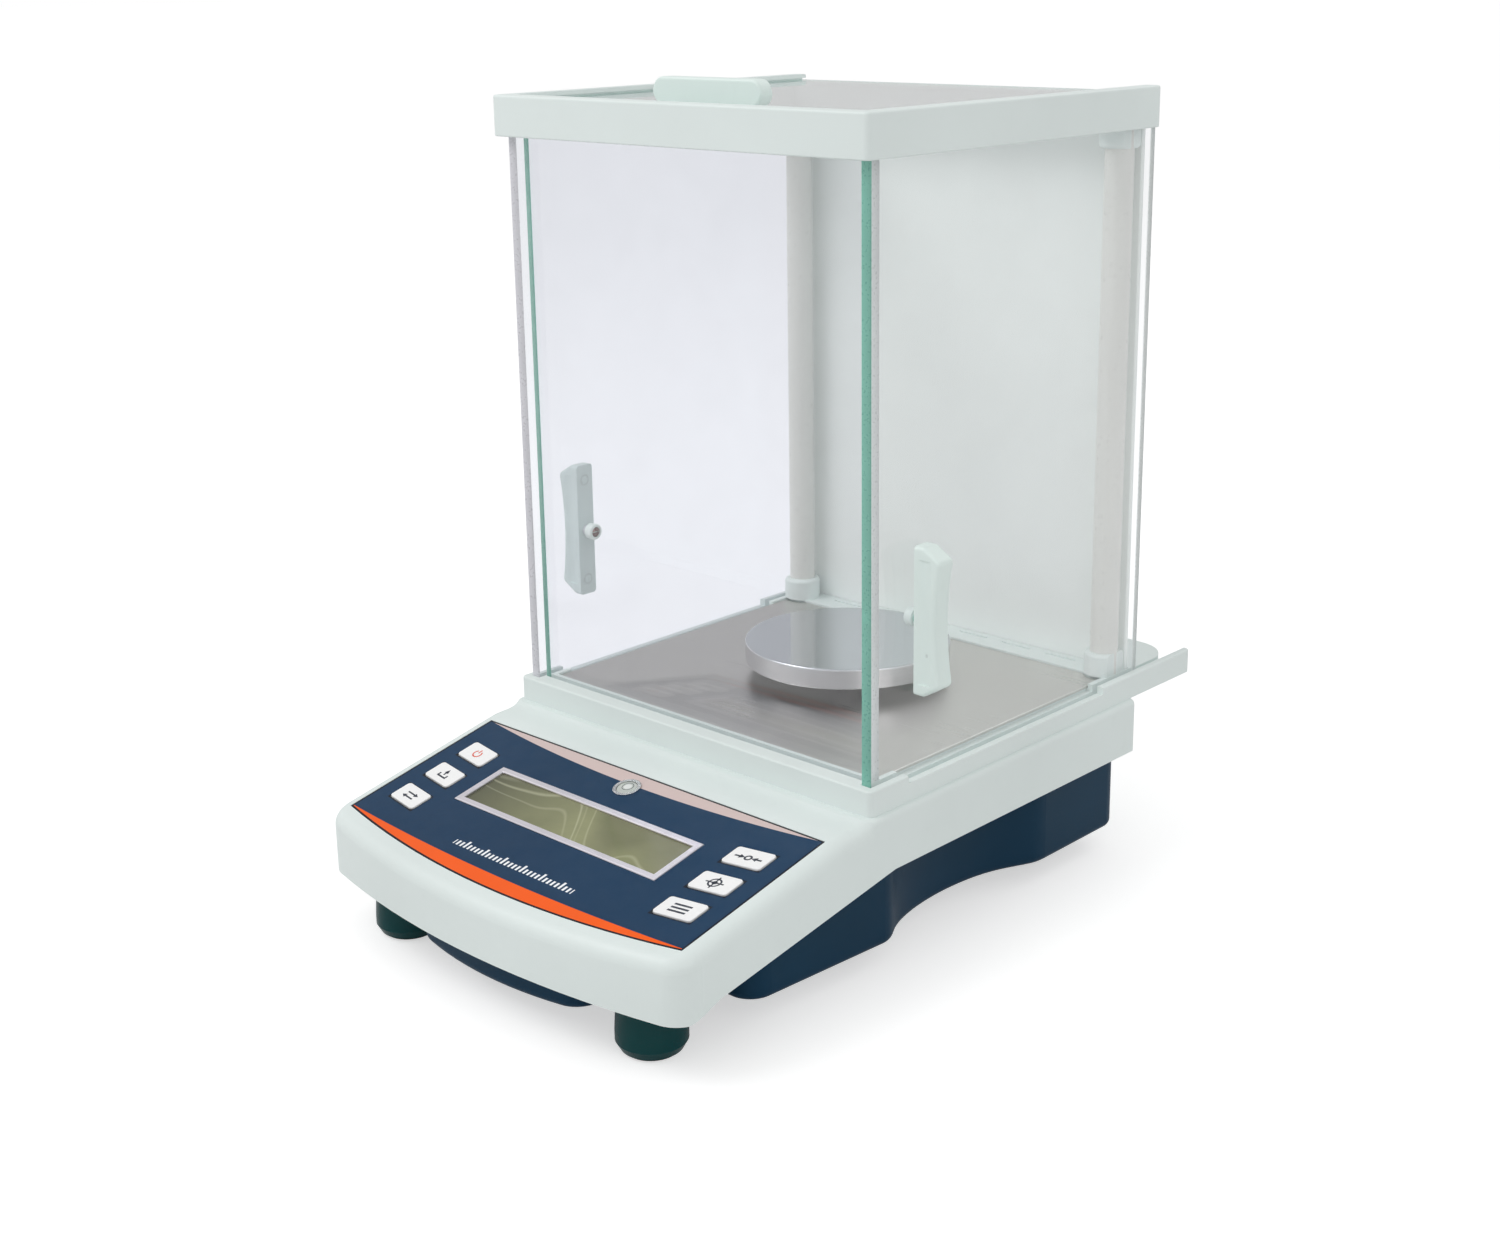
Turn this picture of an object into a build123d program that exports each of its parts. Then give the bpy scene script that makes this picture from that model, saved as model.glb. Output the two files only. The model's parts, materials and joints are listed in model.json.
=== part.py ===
"""Analytical balance with a sliding-door glass draft shield.

Millimetres, +Z up, +Y from the control console towards the back.  The origin is on the bench, in the
middle of the footprint.  Every piece is written to its own file in parts/.
"""

import os
from math import atan2, cos, sin, tan

from build123d import *

os.makedirs("parts", exist_ok=True)

# ---------------------------------------------------------------- driving dimensions
# upper housing
HOUSING_HALF_W = 106.9
HOUSING_REAR_Y = 128.0
HOUSING_FRONT_Y = -175.5
HOUSING_FRONT_SIDE_Y = -162.5  # where the bowed front face reaches the sides
DECK_Z = 71.4
RIM_Z = 47.0
CHIN_Z = 24.5
WALL = 2.8

# sloping console: its front and rear edge along the label's straight side
CONSOLE_FRONT = (-155.4, 51.7)
CONSOLE_REAR = (-77.7, 68.0)
SLOPE = atan2(CONSOLE_REAR[1] - CONSOLE_FRONT[1], CONSOLE_REAR[0] - CONSOLE_FRONT[0])
CONSOLE_UP = (CONSOLE_REAR[0] - CONSOLE_FRONT[0]) / cos(SLOPE)
LABEL_HALF_W = 99.7
LABEL_BOW = 10.8
LABEL_POCKET = 0.6
LABEL_T = 0.5

# lower housing
TUB_FLOOR_Z = 10.0
TUB_WALL = 2.6
TUB_TOP_Z = 56.0
TUB_FRONT_TOP_Z = 45.0

# draft shield
SHIELD_HALF_W = 104.2
SHIELD_FRONT_Y = -55.7
SHIELD_TOP_REAR_Y = 133.6
RAIL_TIP_Y = 175.5
BASE_TOP_Z = 82.4
TOP_FRAME_Z = 324.8
TOP_FRAME_TOP_Z = 342.1
DOOR_INNER_X = 96.0
DOOR_T = 4.8
DOOR_FRONT_Y = -51.7
DOOR_LENGTH = 186.5
FRONT_PANE_Y = -47.9
FRONT_PANE_T = 5.0
FRONT_PANE_HALF_W = 95.5
BACK_PANEL_Y = 132.1
BACK_PANEL_T = 2.4
BACK_PANEL_HALF_W = 94.5
GLASS_Z = (76.4, 328.0)
GROOVE_GAP = 0.3
TOP_GLASS_Z = 335.3
TOP_GLASS_T = 4.2
PLATE_TOP_Z = 81.6
PLATE_T = 1.3

# columns
COLUMN_X = 89.2
COLUMN_Y = 121.8
COLUMN_R = 6.25
COLLAR_R = 8.8
COLLAR_FLAT_X = 95.4
TIE_ROD_R = 2.0

# pan and load cell
PAN_Y = 51.1
PAN_R = 45.0
PAN_TOP_Z = 97.2
PAN_H = 9.4
LEVER_PIVOT = (24.0, 34.0)  # y, z
COIL_Y = -46.0

# feet
FOOT_X = 74.1
FOOT_Y = -147.3
FOOT_R = 14.1
REAR_FOOT = (70.0, 100.0)

FLOOR_UP = (Align.CENTER, Align.CENTER, Align.MIN)
BACKWARD = (Align.CENTER, Align.MIN, Align.MIN)
BOTH_SIDES = (-1, 1)
SIDE_NAME = {-1: "left", 1: "right"}

console = Plane(
    origin=(0, CONSOLE_FRONT[0], CONSOLE_FRONT[1]), x_dir=(1, 0, 0), z_dir=(0, -sin(SLOPE), cos(SLOPE))
)


def console_z(y):
    """Height of the console surface above the bench at this y."""
    return CONSOLE_FRONT[1] + (y - CONSOLE_FRONT[0]) * tan(SLOPE)


# ---------------------------------------------------------------- console layout
# centre x, distance up the slope, width, height, all on the console plane
LCD_X, LCD_UP, LCD_W, LCD_H = -1.6, 40.4, 120.7, 27.8
LCD_RIM = 3.0
LEVEL_UP = 68.9
LEVEL_R = 6.0
LEVEL_HOLE_R = 5.4
KEY_X = 81.3
KEY_W = 18.0
KEY_H = 11.2
KEY_SLANT = 0.15  # the outer ends stand higher, following the bow of the label
KEY_PROUD = 0.5
KEY_DEPTH = 1.4
KEY_STEM_END = -5.5
KEY_HOLE_GAP = 0.4
KEYS = {
    "key_power": (-1, 56.0),
    "key_print": (-1, 37.2),
    "key_units": (-1, 18.2),
    "key_tare": (1, 56.0),
    "key_calibrate": (1, 37.2),
    "key_mode": (1, 18.2),
}
BOARD_DEPTH = 8.0


def key_outline(side, up, grow=0.0):
    """Slanted key shape on the console, made larger all round by grow."""
    half_w = KEY_W / 2 + grow
    half_h = KEY_H / 2 + grow
    lift = KEY_SLANT * half_w * side
    with BuildSketch(console) as outline:
        with Locations((side * KEY_X, up)):
            Polygon(
                (-half_w, -half_h - lift),
                (half_w, -half_h + lift),
                (half_w, half_h + lift),
                (-half_w, half_h - lift),
                align=None,
            )
        fillet(outline.vertices(), 1.6 + grow)
    return outline.sketch


def label_outline(grow=0.0):
    """Console label with its bowed front edge, made larger all round by grow."""
    with BuildSketch(console) as outline:
        with BuildLine():
            Polyline(
                (-LABEL_HALF_W, 0),
                (-LABEL_HALF_W, CONSOLE_UP),
                (LABEL_HALF_W, CONSOLE_UP),
                (LABEL_HALF_W, 0),
            )
            ThreePointArc((LABEL_HALF_W, 0), (0, -LABEL_BOW), (-LABEL_HALF_W, 0))
        make_face()
        if grow:
            offset(amount=grow)
    return outline.sketch


# ---------------------------------------------------------------- upper housing
def housing_plan(inset):
    """Plan outline of the upper housing: straight sides and back, bowed front."""
    with BuildSketch() as plan:
        with BuildLine():
            Polyline(
                (-HOUSING_HALF_W, HOUSING_FRONT_SIDE_Y),
                (-HOUSING_HALF_W, HOUSING_REAR_Y),
                (HOUSING_HALF_W, HOUSING_REAR_Y),
                (HOUSING_HALF_W, HOUSING_FRONT_SIDE_Y),
            )
            ThreePointArc(
                (HOUSING_HALF_W, HOUSING_FRONT_SIDE_Y),
                (0, HOUSING_FRONT_Y),
                (-HOUSING_HALF_W, HOUSING_FRONT_SIDE_Y),
            )
        make_face()
        fillet(plan.vertices().group_by(Axis.Y)[0], 13)
        fillet(plan.vertices().group_by(Axis.Y)[-1], 4)
        if inset:
            offset(amount=-inset)
    return plan.sketch


outer_plan = housing_plan(0)
inner_plan = housing_plan(WALL)
FRONT_PAST = HOUSING_FRONT_Y - 3  # the side profile runs past the bowed front
STEP_FRONT_Y = -73.0
STEP_REAR_Y = -58.5

with BuildPart() as housing_cavity:
    with BuildSketch(Plane.YZ.offset(-HOUSING_HALF_W)):
        with BuildLine():
            Polyline(
                (FRONT_PAST, 0),
                (FRONT_PAST, console_z(FRONT_PAST) - WALL / cos(SLOPE)),
                (STEP_FRONT_Y, console_z(STEP_FRONT_Y) - WALL / cos(SLOPE)),
                (STEP_REAR_Y, DECK_Z - WALL),
                (HOUSING_REAR_Y, DECK_Z - WALL),
                (HOUSING_REAR_Y, 0),
                close=True,
            )
        make_face()
    extrude(amount=2 * HOUSING_HALF_W)
    extrude(inner_plan, amount=DECK_Z, mode=Mode.INTERSECT)

SCREW_POSTS = [(-82, 80), (82, 80), (-80, -64), (80, -64), (0, -157)]
POST_R = 4.5
POST_Z = 21.0

with BuildPart() as upper_housing:
    with BuildSketch(Plane.YZ.offset(-HOUSING_HALF_W)):
        with BuildLine():
            Polyline(
                (STEP_REAR_Y, DECK_Z),
                (HOUSING_REAR_Y, DECK_Z),
                (HOUSING_REAR_Y, RIM_Z),
                (-43.3, RIM_Z),
                (-142.8, 30.1),
                (-158, CHIN_Z),
                (FRONT_PAST, CHIN_Z),
                (FRONT_PAST, console_z(FRONT_PAST)),
                (STEP_FRONT_Y, console_z(STEP_FRONT_Y)),
            )
            Spline(
                (STEP_FRONT_Y, console_z(STEP_FRONT_Y)),
                (STEP_REAR_Y, DECK_Z),
                tangents=((cos(SLOPE), sin(SLOPE)), (0.75, 0.65)),
            )
        make_face()
    extrude(amount=2 * HOUSING_HALF_W)
    extrude(outer_plan, amount=DECK_Z, mode=Mode.INTERSECT)
    slope_face = upper_housing.faces().filter_by(
        lambda f: f.area > 5000 and abs(f.normal_at().Z - cos(SLOPE)) < 0.01 and f.normal_at().Y < -0.1
    )[0]
    shoulder = slope_face.edges().filter_by(lambda e: e.center().Y < STEP_FRONT_Y - 3)
    step_sides = upper_housing.edges().filter_by(
        lambda e: abs(e.center().X) > HOUSING_HALF_W - 0.1 and STEP_FRONT_Y < e.center().Y < STEP_REAR_Y
    )
    fillet(shoulder + step_sides, 6)
    deck_edges = upper_housing.edges().filter_by(
        lambda e: e.center().Z > DECK_Z - 0.1 and e.center().Y > STEP_REAR_Y + 10
    )
    fillet(deck_edges, 2.4)
    add(housing_cavity.part, mode=Mode.SUBTRACT)
    for post_x, post_y in SCREW_POSTS:
        post_top = DECK_Z - 1 if post_y > STEP_REAR_Y else console_z(post_y) - 1.5
        with Locations((post_x, post_y, POST_Z)):
            Cylinder(POST_R, post_top - POST_Z, align=FLOOR_UP)
            Cylinder(1.9, 16, align=FLOOR_UP, mode=Mode.SUBTRACT)
    # label pocket, display window, key and level openings
    extrude(label_outline(0.25), amount=-LABEL_POCKET, mode=Mode.SUBTRACT)
    with BuildSketch(console):
        with Locations((LCD_X, LCD_UP)):
            Rectangle(LCD_W - 2 * LCD_RIM + 0.8, LCD_H - 2 * LCD_RIM + 0.8)
        with Locations((0, LEVEL_UP)):
            Circle(LEVEL_HOLE_R)
    extrude(amount=-6, mode=Mode.SUBTRACT)
    for side, up in KEYS.values():
        extrude(key_outline(side, up, KEY_HOLE_GAP), amount=-6, mode=Mode.SUBTRACT)
    # pan support opening and the tie rods' holes in the deck
    with Locations((0, PAN_Y, DECK_Z)):
        Hole(10, WALL + 2)
    with Locations((-COLUMN_X, COLUMN_Y, DECK_Z), (COLUMN_X, COLUMN_Y, DECK_Z)):
        Hole(TIE_ROD_R + 0.3, WALL + 2)
upper_housing.part.label = "upper_housing"
export_step(upper_housing.part, "parts/upper_housing.step")


# ---------------------------------------------------------------- lower housing
# x, y points of the waist that the fingers go into when the balance is carried
WAIST = [
    (99.6, -41),
    (95.9, -30.5),
    (90.6, -16.6),
    (87.6, 3),
    (88.2, 28),
    (92.2, 45.7),
    (97.6, 58),
    (100.2, 68),
]
TUB_FRONT_Y = -114.5
TUB_REAR_Y = 124.5
TUB_FRONT_HALF_W = 94.2
TUB_FRONT_CORNER_R = 12.0
TUB_REAR_CORNER_R = 9.0
NOSE_HALF_W = 50.0
NOSE_FRONT_Y = -167.5
NOSE_FRONT_SIDE_Y = -160.5
NOSE_CORNER_R = 13.0
NOSE_OVERLAP = 8.0  # how far the nose runs back into the tub


def tub_plan(inset):
    """Plan outline of the navy tub, with a waist on both sides."""
    waist = [(x - inset, y) for x, y in WAIST]
    front_y = TUB_FRONT_Y + inset
    rear_y = TUB_REAR_Y - inset
    with BuildSketch() as plan:
        with BuildLine():
            Polyline((0, front_y), (TUB_FRONT_HALF_W - inset, front_y), waist[0])
            Spline(*waist, tangents=((0.07, 1), (0.05, 1)))
            Polyline(waist[-1], (waist[-1][0], rear_y), (0, rear_y))
            mirror(about=Plane.YZ)
        make_face()
        fillet(plan.vertices().group_by(Axis.Y)[-1], TUB_REAR_CORNER_R - inset)
        fillet(plan.vertices().group_by(Axis.Y)[0], TUB_FRONT_CORNER_R - inset)
    return plan.sketch


def nose_plan(inset):
    """Plan outline of the tub's nose, which reaches forward between the feet."""
    half_w = NOSE_HALF_W - inset
    side_y = NOSE_FRONT_SIDE_Y + inset
    with BuildSketch() as plan:
        with BuildLine():
            Polyline(
                (-half_w, side_y),
                (-half_w, TUB_FRONT_Y + NOSE_OVERLAP),
                (half_w, TUB_FRONT_Y + NOSE_OVERLAP),
                (half_w, side_y),
            )
            ThreePointArc((half_w, side_y), (0, NOSE_FRONT_Y + inset), (-half_w, side_y))
        make_face()
        fillet(plan.vertices().group_by(Axis.Y)[0], NOSE_CORNER_R - inset)
    return plan.sketch


FOOT_PLATE_Z = 28.0
FOOT_PLATE_T = 3.0
FOOT_PLATE_CENTRE = (70.0, -137.0)
FOOT_BOSS_R = 8.0
INSERT_R = 4.5
INSERT_TOP_Z = 40.0
POWER_X, SERIAL_X, PORT_Z = 62.0, 18.0, 30.0
POWER_SIZE = 13.0
SERIAL_W, SERIAL_H = 31.0, 13.0
BOARD_STANDOFFS = [(-66, -104), (66, -104), (-66, -80), (66, -80)]
MAIN_BOARD_Z = 24.0

with BuildPart() as lower_housing:
    extrude(tub_plan(0), amount=TUB_TOP_Z - TUB_FLOOR_Z)
    extrude(nose_plan(0), amount=TUB_FRONT_TOP_Z - TUB_FLOOR_Z - 5)
    bottom_edges = lower_housing.faces().sort_by(Axis.Z)[0].outer_wire().edges()
    fillet(bottom_edges, 3.5)
    with BuildSketch(Plane.XY.offset(FOOT_PLATE_Z - TUB_FLOOR_Z)):
        with Locations(*[(side * FOOT_PLATE_CENTRE[0], FOOT_PLATE_CENTRE[1]) for side in BOTH_SIDES]):
            RectangleRounded(50, 50, 10)
    extrude(amount=FOOT_PLATE_T)
    with Locations(*[(side * FOOT_X, FOOT_Y, FOOT_PLATE_Z - TUB_FLOOR_Z) for side in BOTH_SIDES]):
        Cylinder(FOOT_BOSS_R, INSERT_TOP_Z - FOOT_PLATE_Z, align=FLOOR_UP)
    with BuildSketch(Plane.XY.offset(TUB_WALL)):
        add(tub_plan(TUB_WALL))
        add(nose_plan(TUB_WALL))
    extrude(amount=TUB_TOP_Z, mode=Mode.SUBTRACT)
    # the front of the tub stays low, under the console
    with BuildSketch(Plane.XY.offset(TUB_FRONT_TOP_Z - TUB_FLOOR_Z)):
        with Locations((0, -130)):
            Rectangle(2 * HOUSING_HALF_W, 140)
    extrude(amount=30, mode=Mode.SUBTRACT)
    for post_x, post_y in SCREW_POSTS:
        with Locations((post_x, post_y, 0)):
            Cylinder(POST_R, POST_Z - TUB_FLOOR_Z, align=FLOOR_UP)
            Cylinder(2.2, POST_Z - TUB_FLOOR_Z, align=FLOOR_UP, mode=Mode.SUBTRACT)
            Cylinder(3.8, 3.5, align=FLOOR_UP, mode=Mode.SUBTRACT)
    with Locations(*[(x, y, TUB_WALL) for x, y in BOARD_STANDOFFS]):
        Cylinder(3.5, MAIN_BOARD_Z - TUB_FLOOR_Z - TUB_WALL, align=FLOOR_UP)
    with Locations(*[(side * FOOT_X, FOOT_Y, 0) for side in BOTH_SIDES]):
        Cylinder(INSERT_R, 60, align=FLOOR_UP, mode=Mode.SUBTRACT)
    with Locations((POWER_X, TUB_REAR_Y - TUB_WALL / 2, PORT_Z - TUB_FLOOR_Z)):
        Box(POWER_SIZE, 2 * TUB_WALL, POWER_SIZE, mode=Mode.SUBTRACT)
    with Locations((SERIAL_X, TUB_REAR_Y - TUB_WALL / 2, PORT_Z - TUB_FLOOR_Z)):
        Box(SERIAL_W, 2 * TUB_WALL, SERIAL_H, mode=Mode.SUBTRACT)
lower_shell = lower_housing.part.moved(Location((0, 0, TUB_FLOOR_Z)))
lower_shell.label = "lower_housing"
export_step(lower_shell, "parts/lower_housing.step")

with BuildPart() as housing_screws:
    with Locations(*[(x, y, TUB_FLOOR_Z + 3.5) for x, y in SCREW_POSTS]):
        Cylinder(1.85, 20, align=FLOOR_UP)
        Cylinder(3.5, 2.2, align=(Align.CENTER, Align.CENTER, Align.MAX))
        with Locations((0, 0, -2.2)):
            Cylinder(1.2, 1.2, align=FLOOR_UP, mode=Mode.SUBTRACT)
housing_screws.part.label = "housing_screws"
export_step(housing_screws.part, "parts/housing_screws.step")


# ---------------------------------------------------------------- console pieces
with BuildPart() as control_label:
    extrude(label_outline(), amount=-LABEL_POCKET)
    extrude(label_outline(0.25), amount=-(LABEL_POCKET - LABEL_T), mode=Mode.SUBTRACT)
    with BuildSketch(console):
        with Locations((LCD_X, LCD_UP)):
            Rectangle(LCD_W + 0.4, LCD_H + 0.4)
        with Locations((0, LEVEL_UP)):
            Circle(LEVEL_HOLE_R)
    extrude(amount=-LABEL_POCKET, mode=Mode.SUBTRACT)
    for side, up in KEYS.values():
        extrude(key_outline(side, up, KEY_HOLE_GAP), amount=-6, mode=Mode.SUBTRACT)
control_label.part.label = "control_label"
export_step(control_label.part, "parts/control_label.step")

with BuildPart() as lcd_frame:
    with BuildSketch(console.offset(-LABEL_POCKET)):
        with Locations((LCD_X, LCD_UP)):
            Rectangle(LCD_W, LCD_H)
            Rectangle(LCD_W - 2 * LCD_RIM, LCD_H - 2 * LCD_RIM, mode=Mode.SUBTRACT)
    extrude(amount=LABEL_POCKET + 0.5)
    chamfer(lcd_frame.faces().filter_by(lambda f: f.normal_at().Z > 0.9).edges(), 0.4)
lcd_frame.part.label = "lcd_frame"
export_step(lcd_frame.part, "parts/lcd_frame.step")

with BuildPart() as lcd_window:
    with BuildSketch(console.offset(-WALL)):
        with Locations((LCD_X, LCD_UP)):
            Rectangle(LCD_W - 2 * LCD_RIM + 0.4, LCD_H - 2 * LCD_RIM + 0.4)
    extrude(amount=WALL - LABEL_POCKET - 0.1)
lcd_window.part.label = "lcd_window"
export_step(lcd_window.part, "parts/lcd_window.step")

with BuildPart() as lcd_module:
    with BuildSketch(console.offset(-BOARD_DEPTH)):
        with Locations((LCD_X, LCD_UP)):
            Rectangle(LCD_W - 2, LCD_H + 4)
    extrude(amount=BOARD_DEPTH - WALL - 0.1)
    chamfer(lcd_module.edges().group_by(Axis.Z)[-1], 0.5)
lcd_module.part.label = "lcd_module"
export_step(lcd_module.part, "parts/lcd_module.step")

for key_name, (side, up) in KEYS.items():
    with BuildPart() as key:
        extrude(key_outline(side, up), amount=KEY_PROUD)
        extrude(key_outline(side, up), amount=-KEY_DEPTH)
        top = key.faces().filter_by(lambda f: f.area > 150).sort_by(Axis.Z)[-1]
        fillet(top.edges(), 0.35)
        with BuildSketch(console):
            with Locations((side * KEY_X, up)):
                Circle(1.6)
        extrude(amount=KEY_STEM_END)
    key.part.label = key_name
    export_step(key.part, f"parts/{key_name}.step")

with BuildPart() as display_board:
    with BuildSketch(console.offset(-BOARD_DEPTH - 1.6)):
        with Locations((0, 38)):
            Rectangle(190, 62)
    extrude(amount=1.6)
display_board.part.label = "display_board"
export_step(display_board.part, "parts/display_board.step")

with BuildPart() as tact_switches:
    for side, up in KEYS.values():
        with BuildSketch(console.offset(-BOARD_DEPTH)):
            with Locations((side * KEY_X, up)):
                Rectangle(6, 6)
        extrude(amount=1.4)
        with BuildSketch(console.offset(-BOARD_DEPTH + 1.4)):
            with Locations((side * KEY_X, up)):
                Circle(1.7)
        extrude(amount=BOARD_DEPTH - 1.4 + KEY_STEM_END - 0.6)
tact_switches.part.label = "tact_switches"
export_step(tact_switches.part, "parts/tact_switches.step")

with BuildPart() as level_cup:
    with BuildSketch(console.offset(-LABEL_POCKET + LABEL_T)):
        with Locations((0, LEVEL_UP)):
            Circle(LEVEL_R)
    extrude(amount=0.7)
    with BuildSketch(console.offset(-6)):
        with Locations((0, LEVEL_UP)):
            Circle(LEVEL_R - 0.8)
    extrude(amount=6.3)
    with BuildSketch(console.offset(-5)):
        with Locations((0, LEVEL_UP)):
            Circle(LEVEL_R - 1.4)
    extrude(amount=8, mode=Mode.SUBTRACT)
level_cup.part.label = "level_cup"
export_step(level_cup.part, "parts/level_cup.step")

with BuildPart() as level_vial:
    with BuildSketch(console.offset(-5)):
        with Locations((0, LEVEL_UP)):
            Circle(LEVEL_R - 1.45)
    extrude(amount=5.5)
    fillet(level_vial.edges().group_by(Axis.Z)[-1], 0.6)
level_vial.part.label = "level_vial"
export_step(level_vial.part, "parts/level_vial.step")


# ---------------------------------------------------------------- boards and rear connectors
with BuildPart() as main_board:
    with Locations((0, -92, MAIN_BOARD_Z)):
        Box(144, 34, 1.6, align=FLOOR_UP)
    with Locations((-40, -92, MAIN_BOARD_Z + 1.6), (2, -90, MAIN_BOARD_Z + 1.6)):
        Box(14, 14, 2.2, align=FLOOR_UP)
    with Locations((36, -96, MAIN_BOARD_Z + 1.6), (50, -88, MAIN_BOARD_Z + 1.6)):
        Cylinder(4, 11, align=FLOOR_UP)
main_board.part.label = "main_board"
export_step(main_board.part, "parts/main_board.step")

REAR_FACE = Plane(origin=(0, TUB_REAR_Y + 1, 0), x_dir=(-1, 0, 0), z_dir=(0, 1, 0))

with BuildPart() as power_socket:
    with BuildSketch(REAR_FACE):
        with Locations((-POWER_X, PORT_Z)):
            RectangleRounded(POWER_SIZE - 0.2, POWER_SIZE - 0.2, 1.5)
    extrude(amount=-15)
    with BuildSketch(REAR_FACE):
        with Locations((-POWER_X, PORT_Z)):
            Circle(4.2)
            Circle(1.05, mode=Mode.SUBTRACT)
    extrude(amount=-11, mode=Mode.SUBTRACT)
power_socket.part.label = "power_socket"
export_step(power_socket.part, "parts/power_socket.step")

with BuildPart() as serial_port:
    with BuildSketch(REAR_FACE):
        with Locations((-SERIAL_X, PORT_Z)):
            Rectangle(SERIAL_W - 0.2, SERIAL_H - 0.2)
    extrude(amount=-12)
    with BuildSketch(REAR_FACE):
        with Locations((-SERIAL_X, PORT_Z)):
            Trapezoid(18.5, 9.5, 80)
            Trapezoid(17.0, 8.0, 80, mode=Mode.SUBTRACT)
    extrude(amount=3.5)
    with BuildSketch(REAR_FACE):
        with Locations((-SERIAL_X, PORT_Z)):
            Trapezoid(17.0, 8.0, 80)
    extrude(amount=-4, mode=Mode.SUBTRACT)
    with BuildSketch(REAR_FACE.offset(-4)):
        with Locations((-SERIAL_X - 0.2, PORT_Z + 1.4)):
            with GridLocations(2.76, 1, 5, 1):
                Circle(0.5)
        with Locations((-SERIAL_X - 0.2, PORT_Z - 1.4)):
            with GridLocations(2.76, 1, 4, 1):
                Circle(0.5)
    extrude(amount=6)
serial_port.part.label = "serial_port"
export_step(serial_port.part, "parts/serial_port.step")


# ---------------------------------------------------------------- draft shield base
GROOVE_IN = DOOR_INNER_X - GROOVE_GAP
GROOVE_OUT = DOOR_INNER_X + DOOR_T + GROOVE_GAP
GROOVE_MID = (GROOVE_IN + GROOVE_OUT) / 2
GROOVE_W = GROOVE_OUT - GROOVE_IN
GROOVE_FLOOR_Z = GLASS_Z[0] - 0.4
PLATE_HALF_W = 93.0
PLATE_FRONT_Y = -40.4
PLATE_LENGTH = 156.4
NOTCH_Y = (-32.3, 103.7)
NOTCH_DROP = 3.2
BASE_OPENING_Y = 38.0
BASE_OPENING_W = 150.0
BASE_OPENING_LENGTH = 130.0
TAIL_TOP_Z = 80.2
TAIL_REAR_Y = RAIL_TIP_Y - 1.0
TAIL_CORNER_R = 18.0
SLOT_Y = 126.0
SLOT_PITCH = 25.0
SLOT_LENGTH = 17.0
SLOT_W = 1.4
SLOT_DEPTH = 0.9
DOOR_RUN = RAIL_TIP_Y - DOOR_FRONT_Y

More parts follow.
